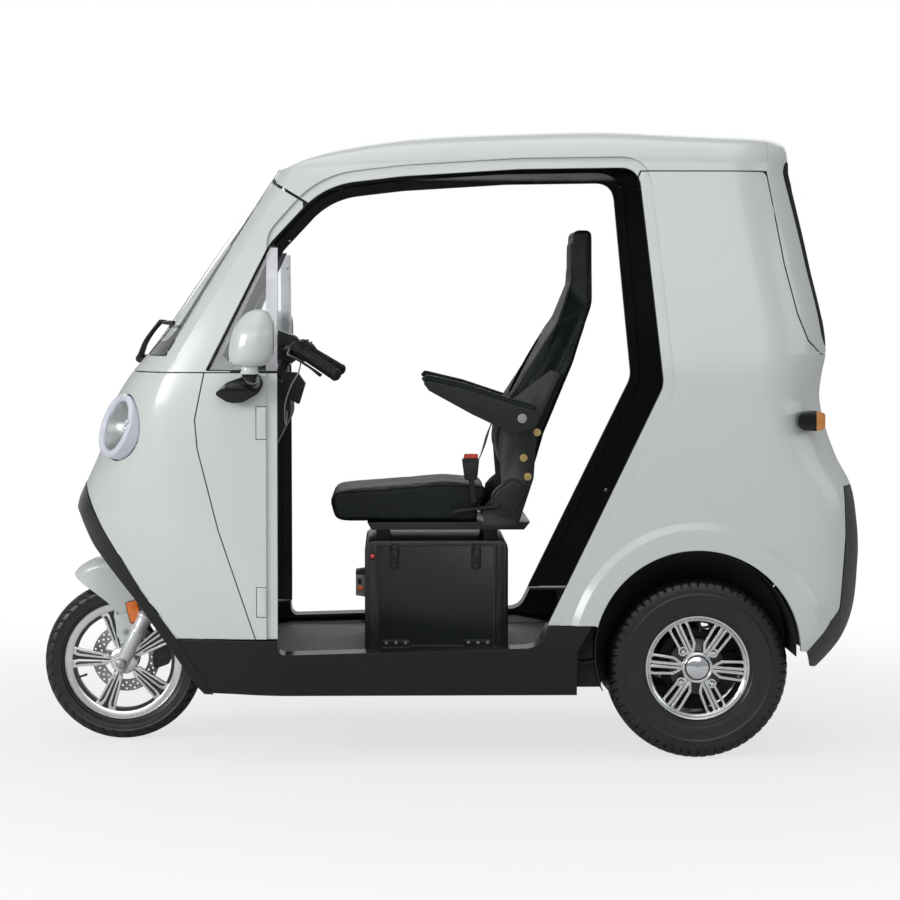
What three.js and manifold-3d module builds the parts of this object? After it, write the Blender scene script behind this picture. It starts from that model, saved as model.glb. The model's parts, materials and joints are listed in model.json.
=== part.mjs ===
// Electric tuk-tuk: a three-wheeled cabin vehicle with one steered front wheel, open sides,
// a single driver's seat on a battery box and a passenger bench over the rear axle.
// Millimetres. +Z is up, -X is forward, +Y is the vehicle's right-hand side.
// The origin is on the ground, in the middle of the overall length and width.
import * as THREE from "three";
import { mergeVertices } from "three/addons/utils/BufferGeometryUtils.js";
import Module from "manifold-3d";

const wasm = await Module();
wasm.setup();

// ---------------------------------------------------------------- driving dimensions

const SKIN = 6; // wall of the painted body mouldings
const REBATE = 8; // how far the door rebate steps in from the body side
const REBATE_WIDTH = 30; // width of that rebate, measured from the door opening's edge
const LINER_OUT = 16; // the black inner lining starts this far inside the body side
const LINER_IN = 34; // and ends this far inside it
const SEAM = 3; // shut line between two body panels

const BELT = 1091; // seam between the nose and front panels and the windscreen surround
const ROOF_EDGE = 1650; // the roof's dome starts here
const GLASS_FOOT = 1134; // lower edge of the windscreen
const WAIST = 1140; // seam between the rear window frame and the tail
const BUMPER_TOP = 772;
const FLOOR = 284; // top face of the floor pan
const SILL_FOOT = 194; // lower edge of the black sills

const RAKE = (26.6 * Math.PI) / 180; // steering axis from the vertical
const FRONT_AXLE = { x: -945, z: 232, radius: 232, tyre: 108, rim: 166 };
const REAR_AXLE = { x: 704, z: 257, radius: 257, tyre: 136, rim: 140, y: 362 };
const FORK_OFFSET = 30; // wheel centre ahead of the steering axis
const ARCH = { x: 689, z: 313, radius: 287 }; // rear wheel cut-out in the body side

// Plan sections of the body, one row each. Columns: height, front on the centre line, squareness of the
// nose, the crease between the nose and the side, where the side reaches its full half width, that half
// width, rear on the centre line, length and squareness of the rear corner.
const COLUMNS = ["z", "front", "frontSquare", "creaseX", "creaseY", "sideX", "half", "rear", "rearCorner", "rearSquare"];
const SECTIONS = [
  [190, -1010, 2.4, -585, 462, -440, 500, 1000, 250, 4],
  [345, -1030, 2.5, -628, 480, -440, 531, 1135, 250, 4],
  [560, -1058, 2.6, -712, 485, -440, 535, 1177, 250, 4],
  [700, -1068, 2.8, -754, 481, -440, 531, 1170, 250, 4],
  [770, -1040, 3, -772, 478, -440, 529, 1158, 260, 3.8],
  [850, -1004, 3, -788, 473, -440, 527, 1120, 260, 3.4],
  [1010, -952, 3, -796, 465, -440, 521, 1078, 250, 3],
  [1091, -900, 2.9, -772, 462, -440, 517, 1086, 250, 3],
  [1140, -858, 2.8, -745, 461, -430, 513, 1096, 250, 3],
  [1400, -674, 2.8, -585, 446, -350, 485, 1048, 250, 3],
  [1650, -494, 2.8, -432, 418, -220, 452, 990, 240, 3],
].map((row) => Object.fromEntries(COLUMNS.map((name, i) => [name, row[i]])));

// Roof line along the centre line: distance along the vehicle and height.
const ROOF_LINE = [
  [-492, 1672],
  [-420, 1704],
  [-300, 1736],
  [-100, 1762],
  [180, 1777],
  [450, 1785],
  [760, 1779],
  [900, 1780],
  [990, 1778],
];

// ---------------------------------------------------------------- materials

function finish(color, roughness, metalness = 0, extra = {}) {
  return new THREE.MeshStandardMaterial({ color, roughness, metalness, ...extra });
}
const PAINT = finish(0xc9ccc6, 0.28);
const GLOSS_BLACK = finish(0x16181a, 0.25);
const MATT_BLACK = finish(0x1a1b1c, 0.75);
const STEEL = finish(0x232527, 0.5, 0.6);
const ALLOY = finish(0xb9bcbf, 0.3, 1);
const RUBBER = finish(0x1c1d1e, 0.85);
const LEATHER = finish(0x151718, 0.55);
const WEBBING = finish(0x101112, 0.9);
const GLASS = finish(0xdfe6ea, 0.05, 0, { transparent: true, opacity: 0.3 });
const LENS = finish(0xd5dae6, 0.1);
const AMBER = finish(0xd97a1e, 0.3);

// ---------------------------------------------------------------- solids from geometry

// A closed three.js geometry as a manifold-3d solid, its faces turned to point outwards.
function solid(geometry) {
  const bare = new THREE.BufferGeometry();
  bare.setAttribute("position", geometry.getAttribute("position"));
  if (geometry.index) bare.setIndex(geometry.index);
  const merged = mergeVertices(bare, 1e-3);
  const corner = [0, 1, 2].map(() => new THREE.Vector3());
  const i = merged.index.array;
  let volume = 0;
  for (let t = 0; t < i.length; t += 3) {
    corner.forEach((c, k) => c.fromBufferAttribute(merged.attributes.position, i[t + k]));
    volume += corner[0].dot(corner[1].cross(corner[2]));
  }
  if (volume < 0) for (let t = 0; t < i.length; t += 3) [i[t + 1], i[t + 2]] = [i[t + 2], i[t + 1]];
  return new wasm.Manifold(
    new wasm.Mesh({
      numProp: 3,
      vertProperties: new Float32Array(merged.attributes.position.array),
      triVerts: new Uint32Array(merged.index.array),
    }),
  );
}

function geometryOf(made) {
  const { vertProperties, triVerts } = made.getMesh();
  return new THREE.BufferGeometry()
    .setAttribute("position", new THREE.BufferAttribute(vertProperties, 3))
    .setIndex(new THREE.BufferAttribute(triVerts, 1));
}

const join = (...solids) => solids.reduce((all, next) => all.add(next));
const cut = (body, ...tools) => tools.reduce((left, tool) => left.subtract(tool), body);
const common = (...solids) => solids.reduce((all, next) => all.intersect(next));

// The same solid on the other side of the vehicle.
const mirrored = (made) => solid(geometryOf(made).scale(1, -1, 1));

function box(x0, x1, y0, y1, z0, z1) {
  const g = new THREE.BoxGeometry(x1 - x0, y1 - y0, z1 - z0);
  return solid(g.translate((x0 + x1) / 2, (y0 + y1) / 2, (z0 + z1) / 2));
}

// A round bar between two points.
function bar(from, to, radius, sides = 16, endRadius = radius) {
  const a = new THREE.Vector3(...from);
  const b = new THREE.Vector3(...to);
  const axis = b.clone().sub(a);
  const g = new THREE.CylinderGeometry(endRadius, radius, axis.length(), sides);
  g.applyQuaternion(new THREE.Quaternion().setFromUnitVectors(new THREE.Vector3(0, 1, 0), axis.normalize()));
  const middle = a.add(b).multiplyScalar(0.5);
  return solid(g.translate(middle.x, middle.y, middle.z));
}

// A tube swept along a smooth curve through points.
function sweep(points, radius, steps, sides = 10) {
  const circle = new THREE.Shape().absarc(0, 0, radius, 0, 2 * Math.PI, false);
  const extrudePath = new THREE.CatmullRomCurve3(points.map((p) => new THREE.Vector3(...p)));
  return solid(new THREE.ExtrudeGeometry(circle, { steps, extrudePath, curveSegments: sides, bevelEnabled: false }));
}

// A turned solid about the Y axis through (x, z). The profile is radius against y.
function turned(profile, x, z, segments = 28) {
  const points = profile.map(([r, y]) => new THREE.Vector2(r, y));
  return solid(new THREE.LatheGeometry(points, segments).translate(x, 0, z));
}

// An outline in side view from corners [x, z, corner radius], as a three.js shape.
function outline(corners) {
  const shape = new THREE.Shape();
  const at = corners.map(([x, z]) => new THREE.Vector2(x, z));
  const n = corners.length;
  at.forEach((corner, i) => {
    const before = at[(i + n - 1) % n].clone().sub(corner);
    const after = at[(i + 1) % n].clone().sub(corner);
    const turn = Math.abs(Math.PI - Math.acos(before.dot(after) / before.length() / after.length()));
    const reach = Math.min((corners[i][2] || 0) * Math.tan(turn / 2), before.length() * 0.49, after.length() * 0.49);
    const start = corner.clone().addScaledVector(before.normalize(), reach);
    const end = corner.clone().addScaledVector(after.normalize(), reach);
    if (i === 0) shape.moveTo(start.x, start.y);
    else shape.lineTo(start.x, start.y);
    if (reach > 0.5) shape.quadraticCurveTo(corner.x, corner.y, end.x, end.y);
  });
  shape.closePath();
  return shape;
}

// A side-view shape pushed through the vehicle from y0 to y1.
function prism(shape, y0, y1, curveSegments = 3) {
  const made = Array.isArray(shape) ? outline(shape) : shape;
  const g = new THREE.ExtrudeGeometry(made, { depth: y1 - y0, bevelEnabled: false, curveSegments });
  return solid(g.rotateX(Math.PI / 2).translate(0, y1, 0));
}

// The corners of an outline moved outwards by a distance, for a band round an opening.
function grown(corners, by) {
  const at = corners.map(([x, z]) => new THREE.Vector2(x, z));
  const n = at.length;
  const area = at.reduce((sum, p, i) => sum + p.cross(at[(i + 1) % n]), 0);
  const side = Math.sign(area);
  return corners.map(([, , r], i) => {
    const a = at[i].clone().sub(at[(i + n - 1) % n]).normalize();
    const b = at[(i + 1) % n].clone().sub(at[i]).normalize();
    const normalA = new THREE.Vector2(a.y, -a.x).multiplyScalar(side);
    const normalB = new THREE.Vector2(b.y, -b.x).multiplyScalar(side);
    const mitre = normalA.clone().add(normalB).normalize();
    const reach = by / Math.max(mitre.dot(normalA), 0.4);
    const p = at[i].clone().addScaledVector(mitre, reach);
    return [p.x, p.y, (r || 0) + by];
  });
}

// ---------------------------------------------------------------- the body's outer form

const superCorner = (angle, square) => [Math.cos(angle) ** (2 / square), Math.sin(angle) ** (2 / square)];

const CREASE_ANGLE = 1.02; // how far the nose's curve turns before the crease, in radians
const FINE = [5, 4]; // points round the nose and the rear corner of a plan section
const PLAIN = [2, 2]; // the same for what lies inside the body

// Half of one plan section, from the nose along the left side to the tail, moved in by inset. The nose
// is part of a superellipse that stops at the crease, and the side bows gently to its full width.
function planHalf(s, inset, [frontSteps, rearSteps]) {
  const front = s.front + inset;
  const crease = [s.creaseX + 0.5 * inset, s.creaseY - 0.9 * inset];
  const rear = s.rear - inset;
  const half = s.half - inset;
  const [lastAlong, lastAcross] = superCorner(CREASE_ANGLE, s.frontSquare);
  const points = [];
  for (let i = 0; i <= frontSteps; i++) {
    const [along, across] = superCorner((i / frontSteps) * CREASE_ANGLE, s.frontSquare);
    points.push([front + (crease[0] - front) * ((1 - along) / (1 - lastAlong)), (crease[1] * across) / lastAcross]);
  }
  const bow = [crease[0] + 0.5 * (s.sideX - crease[0]), crease[1] + 0.7 * (half - crease[1])];
  points.push(bow, [s.sideX, half]);
  for (let i = rearSteps; i >= 0; i--) {
    const [along, across] = superCorner(((i / rearSteps) * Math.PI) / 2, s.rearSquare);
    points.push([rear - s.rearCorner + s.rearCorner * along, half * across]);
  }
  return points;
}

function roofHeight(x) {
  const i = Math.max(1, ROOF_LINE.findIndex(([at]) => at >= x));
  const [x0, z0] = ROOF_LINE[i - 1];
  const [x1, z1] = ROOF_LINE[i];
  return THREE.MathUtils.clamp(z0 + ((z1 - z0) * (x - x0)) / (x1 - x0), 1660, 1790);
}

const ROOF_RINGS = [0.96, 0.84, 0.5]; // shares of the plan, from the edge to the middle
const ROOF_ROUND = 2.7; // how round the dome is at its front and sides
const ROOF_BACK = 8; // and at its squarer rear end

// The whole body as one closed form, moved in by inset: plan sections joined up to the roof's edge,
// then rings that close the domed roof.
function bodyForm(inset, steps = FINE) {
  const ring = (half, z) => {
    const right = half.slice(1, -1).reverse();
    const height = typeof z === "function" ? z : () => z;
    return [...half.map(([x, y]) => [x, -y, height(x)]), ...right.map(([x, y]) => [x, y, height(x)])];
  };
  const rings = SECTIONS.map((s, i) => ring(planHalf(s, inset, steps), s.z + (i === 0 ? inset : 0)));
  const eaves = planHalf(SECTIONS.at(-1), inset, steps);
  const middle = (eaves[0][0] + eaves.at(-1)[0]) / 2;
  for (const share of ROOF_RINGS) {
    const height = (x) => {
      const back = THREE.MathUtils.smoothstep((x - middle) / share / (eaves.at(-1)[0] - middle), 0.6, 1);
      const round = THREE.MathUtils.lerp(ROOF_ROUND, ROOF_BACK, back);
      return ROOF_EDGE + (roofHeight(x) - inset - ROOF_EDGE) * (1 - share ** round) ** (1 / round);
    };
    rings.push(ring(eaves.map(([x, y]) => [middle + (x - middle) * share, y * share]), height));
  }
  return loft(rings, [middle, 0, roofHeight(middle) - inset]);
}

// A closed solid through rings of points that all have the same count. Each end is closed by a fan
// round its own middle, or round the point given for the last one.
function loft(rings, top) {
  const n = rings[0].length;
  const middle = (ring) => [0, 1, 2].map((k) => ring.reduce((sum, p) => sum + p[k], 0) / n);
  const positions = [...rings.flat(), middle(rings[0]), top || middle(rings.at(-1))];
  const index = [];
  for (let r = 0; r + 1 < rings.length; r++)
    for (let i = 0; i < n; i++) {
      const [a, b] = [r * n + i, r * n + ((i + 1) % n)];
      index.push(a, b, b + n, a, b + n, a + n);
    }
  const last = (rings.length - 1) * n;
  for (let i = 0; i < n; i++) {
    index.push(positions.length - 2, (i + 1) % n, i);
    index.push(positions.length - 1, last + i, last + ((i + 1) % n));
  }
  const g = new THREE.BufferGeometry();
  g.setAttribute("position", new THREE.Float32BufferAttribute(positions.flat(), 3));
  return solid(g.setIndex(index));
}

// ---------------------------------------------------------------- side-view outlines

const WIDE = 620; // wider than the half width of the body
const OPENING = [
  [-470, 313, 45],
  [246, 332, 60],
  [597, 1054, 80],
  [531, 1657, 60],
  [200, 1652, 500],
  [-123, 1632, 500],
  [-342, 1606, 240],
  [-492, 1446, 90],
  [-669, 1094, 4],
  [-470, 1094, 2],
];
const DOOR = [
  [-470, 313, 45],
  [246, 332, 60],
  [597, 1054, 80],
  [531, 1657, 60],
  [200, 1652, 500],
  [-123, 1632, 500],
  [-342, 1606, 240],
  [-470, 1462, 60],
];
const LIP_OUT = [ // lower edge of the black lip round the nose
  [-1110, 706],
  [-1054, 690],
  [-1004, 598],
  [-876, 450],
  [-767, 303],
  [-704, 214],
  [-680, 190],
];
const LIP_IN = [ // seam between that lip and the painted nose
  [-1110, 770],
  [-1036, 766],
  [-970, 646],
  [-857, 474],
  [-757, 343],
];

const LAMP = { x: -921, y: 358, z: 936, radius: 92, turn: 31, lean: 17 }; // headlamp, left one at -y
const FLARE = { out: 14, flat: 52, slope: 30 }; // raised rim of the rear wheel arch

const wheelArch = (radius) => prism(new THREE.Shape().absarc(ARCH.x, ARCH.z, radius, 0, 2 * Math.PI, false), -WIDE, WIDE, 26);

// The body form with the door rebate let into it, moved in by inset.
function rebated(inset, steps) {
  const band = prism(grown(DOOR, REBATE_WIDTH + Math.max(inset, 0)), -WIDE, WIDE);
  return join(cut(bodyForm(inset, steps), band), bodyForm(inset + REBATE, steps));
}

// The rim round the wheel arch: the body form moved outwards, inside a cone that meets the body side.
function flare(grow) {
  const r = ARCH.radius + FLARE.flat;
  const cone = turned([[0, -570], [r - 10, -570], [r, -550], [r + FLARE.slope + 10, -520], [0, -520]], ARCH.x, ARCH.z, 26);
  return common(bodyForm(grow), cone);
}

// The headlamp's own axis, from its middle out to the front.
const lampAxis = new THREE.Vector3(-1, 0, 0)
  .applyAxisAngle(new THREE.Vector3(0, 1, 0), (LAMP.lean * Math.PI) / 180)
  .applyAxisAngle(new THREE.Vector3(0, 0, 1), (LAMP.turn * Math.PI) / 180);
const lampPoint = (out) => [LAMP.x + lampAxis.x * out, -LAMP.y + lampAxis.y * out, LAMP.z + lampAxis.z * out];
const lampSeat = bar(lampPoint(-90), lampPoint(90), LAMP.radius + 3, 16);

const arch = wheelArch(ARCH.radius);
const doorways = prism(OPENING, -WIDE, WIDE);
const leftFlare = cut(flare(-FLARE.out), bodyForm(SKIN + 2), prism(grown(DOOR, REBATE_WIDTH), -WIDE, WIDE));
const bodyShell = cut(
  join(cut(rebated(0), rebated(SKIN)), leftFlare, mirrored(leftFlare)),
  doorways,
  arch,
  lampSeat,
  mirrored(lampSeat),
);

const painted = (...corners) => common(bodyShell, prism(corners, -WIDE, WIDE));
const leftOf = (made) => common(made, box(-1300, 1300, -WIDE, 0, 0, 2000));

const parts = new THREE.Group();
function add(name, made, material) {
  const mesh = new THREE.Mesh(geometryOf(made), material);
  mesh.name = name;
  parts.add(mesh);
}
function addPair(name, left, material) {
  add("left_" + name, left, material);
  add("right_" + name, mirrored(left), material);
}

// ---------------------------------------------------------------- painted body panels

const FRONT_SEAM = [[-671, BELT], [-697, 960], [-690, 880], [-632, 654], [-534, 340]];
const noseRegion = [
  [-1110, BELT - SEAM],
  [-1110, LIP_IN[0][1] + SEAM],
  ...LIP_IN.slice(1).map(([x, z]) => [x + SEAM, z + SEAM]),
  [-530 - SEAM, 354],
  ...FRONT_SEAM.slice(0, 4).reverse().map(([x, z], i) => [x - SEAM, i === 3 ? BELT - SEAM : z, 60]),
];
add("front_cowl", painted(...noseRegion), PAINT);

const frontPanel = painted(
  ...FRONT_SEAM.slice(0, 4).map(([x, z], i) => [x, i === 0 ? BELT - SEAM : z, 60]),
  [-530, 354],
  [-440, 356],
  [-440, BELT - SEAM],
);
addPair("front_panel", leftOf(frontPanel), PAINT);

const PILLAR_SEAM = [[-520, 1655], [-486, 1612], [-400, 1560]]; // seam between the A-pillar and the roof
const GLASS_EDGE = [[-782, GLASS_FOOT], [-464, 1664]]; // side edge of the windscreen
const glassOpening = prism([[-900, GLASS_FOOT], ...GLASS_EDGE, [-560, 1664]], -WIDE, WIDE);
const surround = cut(
  painted([-920, BELT], [-600, BELT], [-400, 1440], ...PILLAR_SEAM.slice().reverse(), [-540, 1655]),
  glassOpening,
);
add("windscreen_surround", surround, PAINT);

const roofRegion = [
  [-560, 1664],
  [-500, 1664],
  [-474, 1614],
  [-390, 1562],
  [-300, 1500],
  [470, 1500],
  [534, 1648],
  [889, 1648],
  [906, 1800],
  [-560, 1800],
];
add("roof", cut(painted(...roofRegion), glassOpening), PAINT);

const REAR_SEAM = [[889, 1648], [895, 1615], [936, 1389], [972, 1251], [1004, 1178], [1048, WAIST]];
const rearPanel = painted(
  [250, 392],
  [404, 392],
  [560, 330],
  [820, 330],
  [993, 318],
  [1034, 366, 30],
  [1088, 432, 40],
  [1104, 640],
  [1104, BUMPER_TOP],
  [1300, BUMPER_TOP],
  [1300, WAIST - SEAM],
  ...REAR_SEAM.slice().reverse().map(([x, z]) => [x - SEAM, Math.min(z, 1648) - SEAM, 20]),
  [537, 1645],
  [480, 1500],
  [430, 1400],
  [430, 900],
);
const TAIL_HALF = 330; // half width of the separate tail panel
addPair("rear_panel", cut(leftOf(rearPanel), box(900, 1300, -TAIL_HALF, TAIL_HALF, 700, 1200)), PAINT);
add(
  "tail_panel",
  common(
    painted([1000, BUMPER_TOP], [1300, BUMPER_TOP], [1300, WAIST - SEAM], [1000, WAIST - SEAM]),
    box(950, 1300, SEAM - TAIL_HALF, TAIL_HALF - SEAM, 700, 1200),
  ),
  PAINT,
);

const WINDOW_HALF = 318;
const windowCut = (margin) => {
  const g = new THREE.ExtrudeGeometry(
    outline([
      [-WINDOW_HALF + margin, 1226 + margin, 60],
      [WINDOW_HALF - margin, 1226 + margin, 60],
      [WINDOW_HALF - 30 - margin, 1616 - margin, 60],
      [-WINDOW_HALF + 30 + margin, 1616 - margin, 60],
    ]),
    { depth: 400, bevelEnabled: false, curveSegments: 5 },
  );
  return solid(g.rotateX(Math.PI / 2).rotateZ(Math.PI / 2).translate(850, 0, 0));
};
const rearFrame = painted(...REAR_SEAM.map(([x, z]) => [x, z, 20]), [1300, WAIST], [1300, 1800], [909, 1800]);
add("rear_window_frame", cut(rearFrame, windowCut(0)), PAINT);

// ---------------------------------------------------------------- glass

const glazing = cut(bodyForm(1), bodyForm(6));
add(
  "windscreen",
  common(
    glazing,
    prism(
      [
        [-900, GLASS_FOOT + SEAM],
        [GLASS_EDGE[0][0] - SEAM, GLASS_FOOT + SEAM],
        [-471, 1660],
        [-560, 1660],
      ],
      -WIDE,
      WIDE,
    ),
  ),
  GLASS,
);
add("rear_window", common(glazing, windowCut(SEAM)), GLASS);

// The clear quarter light has a return along its rear edge, which keeps the wind off the driver.
const quarter = join(
  common(
    cut(bodyForm(REBATE), bodyForm(REBATE + 5)),
    prism([[-659, BELT + 6], [-470, BELT + 6], [-470, 1434], [-492, 1434]], -WIDE, 0),
  ),
  box(-474, -470, -500, -440, BELT + 8, 1432),
);
addPair("quarter_light", common(quarter, bodyForm(REBATE - 1)), GLASS);

// ---------------------------------------------------------------- black lower body

const lip = common(
  cut(bodyForm(-2), bodyForm(8)),
  prism(
    [
      ...LIP_OUT.map(([x, z], i) => [x, z, i === 1 ? 60 : 0]),
      [-655, 190],
      ...LIP_IN.slice().reverse().map(([x, z]) => [x, z - 1]),
    ],
    -WIDE,
    WIDE,
  ),
);
add("nose_lip", lip, GLOSS_BLACK);

const SILL_INNER = 438;
const sillOutline = [
  [-656, SILL_FOOT, 6],
  [358, SILL_FOOT],
  [358, 320],
  [398, 388],
  [275, 388],
  [246, 329, 60],
  [-468, 310, 45],
  [-472, 351],
  [-756, 344],
];
// The sill's outer face: upright at the bottom, with a long scoop above it that leans in to the doorway.
const scoop = common(
  solid(new THREE.BoxGeometry(1200, 90, 140).translate(-100, -45, 70).rotateX(0.26).translate(0, -533, 262)),
  prism([[-640, 420], [-575, 330, 90], [-520, 262, 60], [320, 262, 40], [372, 420], [372, 460]], -WIDE, -300),
);
const sillOuter = cut(rebated(-1), scoop);
const sillBlock = common(
  sillOuter,
  cut(prism(sillOutline, -WIDE, -SILL_INNER), box(-800, -640, -WIDE, -SILL_INNER, 100, 340)),
);
const sillFront = common(cut(bodyForm(-1), bodyForm(8)), prism(sillOutline, -WIDE, -200));
const sillHollow = common(
  bodyForm(14),
  prism([[-632, 100], [350, 100], [350, 300], [236, 318], [-460, 300], [-632, 300]], -WIDE, 10 - SILL_INNER),
);
addPair("sill", cut(join(sillBlock, sillFront), sillHollow), GLOSS_BLACK);

const bumper = common(
  cut(bodyForm(0), bodyForm(10)),
  prism(
    [
      [1013, 269],
      [1034, 262],
      [1300, 262],
      [1300, BUMPER_TOP - SEAM],
      [1107, BUMPER_TOP - SEAM],
      [1107, 640],
      [1091, 432, 40],
      [1037, 363, 30],
      [996, 316],
    ],
    -WIDE,
    WIDE,
  ),
);
add("rear_bumper", bumper, MATT_BLACK);

// ---------------------------------------------------------------- inner lining

const linerSide = cut(
  join(
    common(
      cut(bodyForm(LINER_OUT, PLAIN), bodyForm(LINER_OUT + 8, PLAIN)),
      prism([[-720, 360], [-420, 316], [420, 392], [1010, 620], [1030, 1150], [880, 1636], [-560, 1636]], -WIDE, -300),
    ),
    common(
      cut(bodyForm(LINER_OUT, PLAIN), bodyForm(LINER_IN, PLAIN)),
      prism(grown(OPENING, 30), -WIDE, -300),
    ),
  ),
  prism(OPENING, -WIDE, WIDE),
  prism([[-1100, 1080], [-722, 1080], [-530, 1470], [-420, 1640], [-420, 1900], [-1100, 1900]], -WIDE, WIDE),
  box(-1100, 1100, -WIDE, WIDE, 0, 352),
  box(200, 420, -WIDE, WIDE, 0, 391),
  box(-1100, 1100, -WIDE, WIDE, 1660.5, 1800),
);
addPair("cabin_liner", linerSide, MATT_BLACK);

const headlinerSides = prism(grown(OPENING, 32), -WIDE, WIDE);
add(
  "headliner",
  cut(
    common(
      cut(bodyForm(LINER_OUT, PLAIN), bodyForm(LINER_OUT + 8, PLAIN)),
      prism([[-440, 1639], [880, 1639], [880, 1800], [-300, 1800], [-440, 1700]], -WIDE, WIDE),
    ),
    common(headlinerSides, box(-1100, 1100, 300, WIDE, 1500, 1800)),
    common(headlinerSides, box(-1100, 1100, -WIDE, -300, 1500, 1800)),
  ),
  MATT_BLACK,
);

const axis = new THREE.Vector3(Math.sin(RAKE), 0, Math.cos(RAKE));
const hub = new THREE.Vector3(FRONT_AXLE.x, 0, FRONT_AXLE.z);
const axisFoot = hub.clone().add(new THREE.Vector3(Math.cos(RAKE), 0, -Math.sin(RAKE)).multiplyScalar(FORK_OFFSET));
// A point on the steering axis, by distance along it from the height of the wheel centre.
const onAxis = (t, y = 0, ahead = 0) => [
  axisFoot.x + axis.x * t - Math.cos(RAKE) * ahead,
  y,
  axisFoot.z + axis.z * t + Math.sin(RAKE) * ahead,
];

const RAIL_Y = 210;
const HEAD_LOW = 318; // distance along the steering axis from the wheel centre to the head tube
const HEAD_HIGH = 500;
// The tubes from the side rails up to the head tube, with some clearance round them.
const struts = (side, gap) => [
  bar([-620, side * RAIL_Y, 250], onAxis(HEAD_LOW + 20), 19 + gap, 8),
  bar([-500, side * RAIL_Y, 262], onAxis(HEAD_HIGH - 40), 16 + gap, 8),
];
const strutHoles = [-1, 1].flatMap((side) => struts(side, 3));

// Moulding that closes the front of the cabin: the toe board, the wall behind the nose and the housing
// over the steering column.
const wall = prism(
  [
    [-645, 285],
    [-700, 420],
    [-716, 700],
    [-716, 1066],
    [-780, 1118],
    [-788, 1108],
    [-726, 1060],
    [-726, 700],
    [-710, 420],
    [-656, 285],
  ],
  -460,
  460,
);
const columnHousing = [[-722, 528], [-560, 740, 80], [-446, 960, 60], [-452, 1046, 40], [-560, 1090], [-722, 1100]];
const dash = join(
  wall,
  cut(
    prism(columnHousing, -150, 150),
    prism([[-740, 522], [-566, 745, 76], [-452, 964, 54], [-458, 1042, 36], [-562, 1084], [-740, 1094]], -144, 144),
  ),
);
add(
  "dash_panel",
  common(cut(dash, box(-800, -600, -WIDE, -436, 0, 352), box(-800, -600, 436, WIDE, 0, 352), bar(onAxis(250), onAxis(620), 34, 12), bar(onAxis(860), onAxis(1150), 30, 12), ...strutHoles), bodyForm(LINER_IN + 3, PLAIN)),
  MATT_BLACK,
);

// ---------------------------------------------------------------- floor and rear inner body

const FLOOR_HALF = 434;
const floorPan = box(-638, 356, -FLOOR_HALF, FLOOR_HALF, 278, FLOOR);
add("floor_pan", cut(floorPan, ...strutHoles), MATT_BLACK);

const tubLine = [[367, 278], [424, 284, 20], [458, 400], [520, 596, 20], [1036, 596]];
const tub = common(
  prism([...tubLine, ...tubLine.slice().reverse().map(([x, z, r]) => [x < 1000 ? x - 6 : x, z + 5, r])], -500, 500),
  bodyForm(LINER_OUT + 12, PLAIN),
);
// The wheel-arch liner on each side: a drum round the wheel, open below, with a wall on its inner side
// round the axle and a plate in front of it down to the sill.
const leftHouse = join(
  cut(
    turned([[0, -498], [283, -498], [283, -285], [0, -285]], ARCH.x, ARCH.z, 26),
    turned([[0, -600], [280, -600], [280, -288], [0, -288]], ARCH.x, ARCH.z, 26),
    bar([REAR_AXLE.x, -310, REAR_AXLE.z], [REAR_AXLE.x, -270, REAR_AXLE.z], 118, 16),
    box(0, 1100, -WIDE, -200, 0, 205),
    box(700, 1100, -WIDE, -200, 0, 300),
  ),
  prism([[362, 207], [432, 207], [418, 250], [411, 313], [418, 372], [412, 388], [362, 388]], -433, -430),
);
const wheelSpace = turned([[0, -WIDE], [281, -WIDE], [281, -286.5], [0, -286.5]], ARCH.x, ARCH.z, 26);
add("rear_tub", join(cut(tub, wheelSpace, mirrored(wheelSpace)), leftHouse, mirrored(leftHouse)), MATT_BLACK);

// ---------------------------------------------------------------- chassis

const chassis = cut(
  join(
    ...[-1, 1].flatMap((side) => [
      box(-640, 940, side * RAIL_Y - 20, side * RAIL_Y + 20, 218, 277.6),
      ...struts(side, 0),
      box(880, 940, side * RAIL_Y - 20, side * RAIL_Y + 20, 240, 560),
      box(880, 1060, side * RAIL_Y - 15, side * RAIL_Y + 15, 520, 560),
    ]),
    bar(onAxis(HEAD_LOW), onAxis(HEAD_HIGH), 30, 16),
    box(-640, -600, -RAIL_Y, RAIL_Y, 222, 272),
    box(-100, -60, -RAIL_Y, RAIL_Y, 222, 272),
    box(310, 350, -436, 436, 222, 272),
    box(-560, -520, -436, 436, 222, 272),
    box(900, 940, -RAIL_Y, RAIL_Y, 222, 272),
    box(-600, 350, -436, -400, 215, 245),
    box(-600, 350, 400, 436, 215, 245),
  ),
  bar(onAxis(HEAD_LOW - 40), onAxis(HEAD_HIGH + 40), 22, 16),
);
add("chassis_frame", chassis, STEEL);

// ---------------------------------------------------------------- rear axle

const MOTOR = 88;
const rearAxle = join(
  bar([REAR_AXLE.x, -270, REAR_AXLE.z], [REAR_AXLE.x, 270, REAR_AXLE.z], 32, 10),
  bar([REAR_AXLE.x, -60, REAR_AXLE.z - 8], [REAR_AXLE.x, 100, REAR_AXLE.z - 8], MOTOR, 16),
  bar([REAR_AXLE.x, -300, REAR_AXLE.z], [REAR_AXLE.x, -262, REAR_AXLE.z], 100, 16),
  bar([REAR_AXLE.x, 262, REAR_AXLE.z], [REAR_AXLE.x, 300, REAR_AXLE.z], 100, 16),
  bar([REAR_AXLE.x, -355, REAR_AXLE.z], [REAR_AXLE.x, 355, REAR_AXLE.z], 18, 8),
  ...[-1, 1].flatMap((side) => [
    bar([REAR_AXLE.x, side * 172, REAR_AXLE.z], [430, side * 172, 200], 18, 8),
    box(410, 450, side * 172 - 24, side * 172 + 24, 178, 217.6),
    bar([REAR_AXLE.x, side * 160, REAR_AXLE.z], [REAR_AXLE.x + 30, side * 160, 560], 22, 10),
    box(700, 770, side * 160 - 26, side * 160 + 26, 555, 595.6),
  ]),
);
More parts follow.
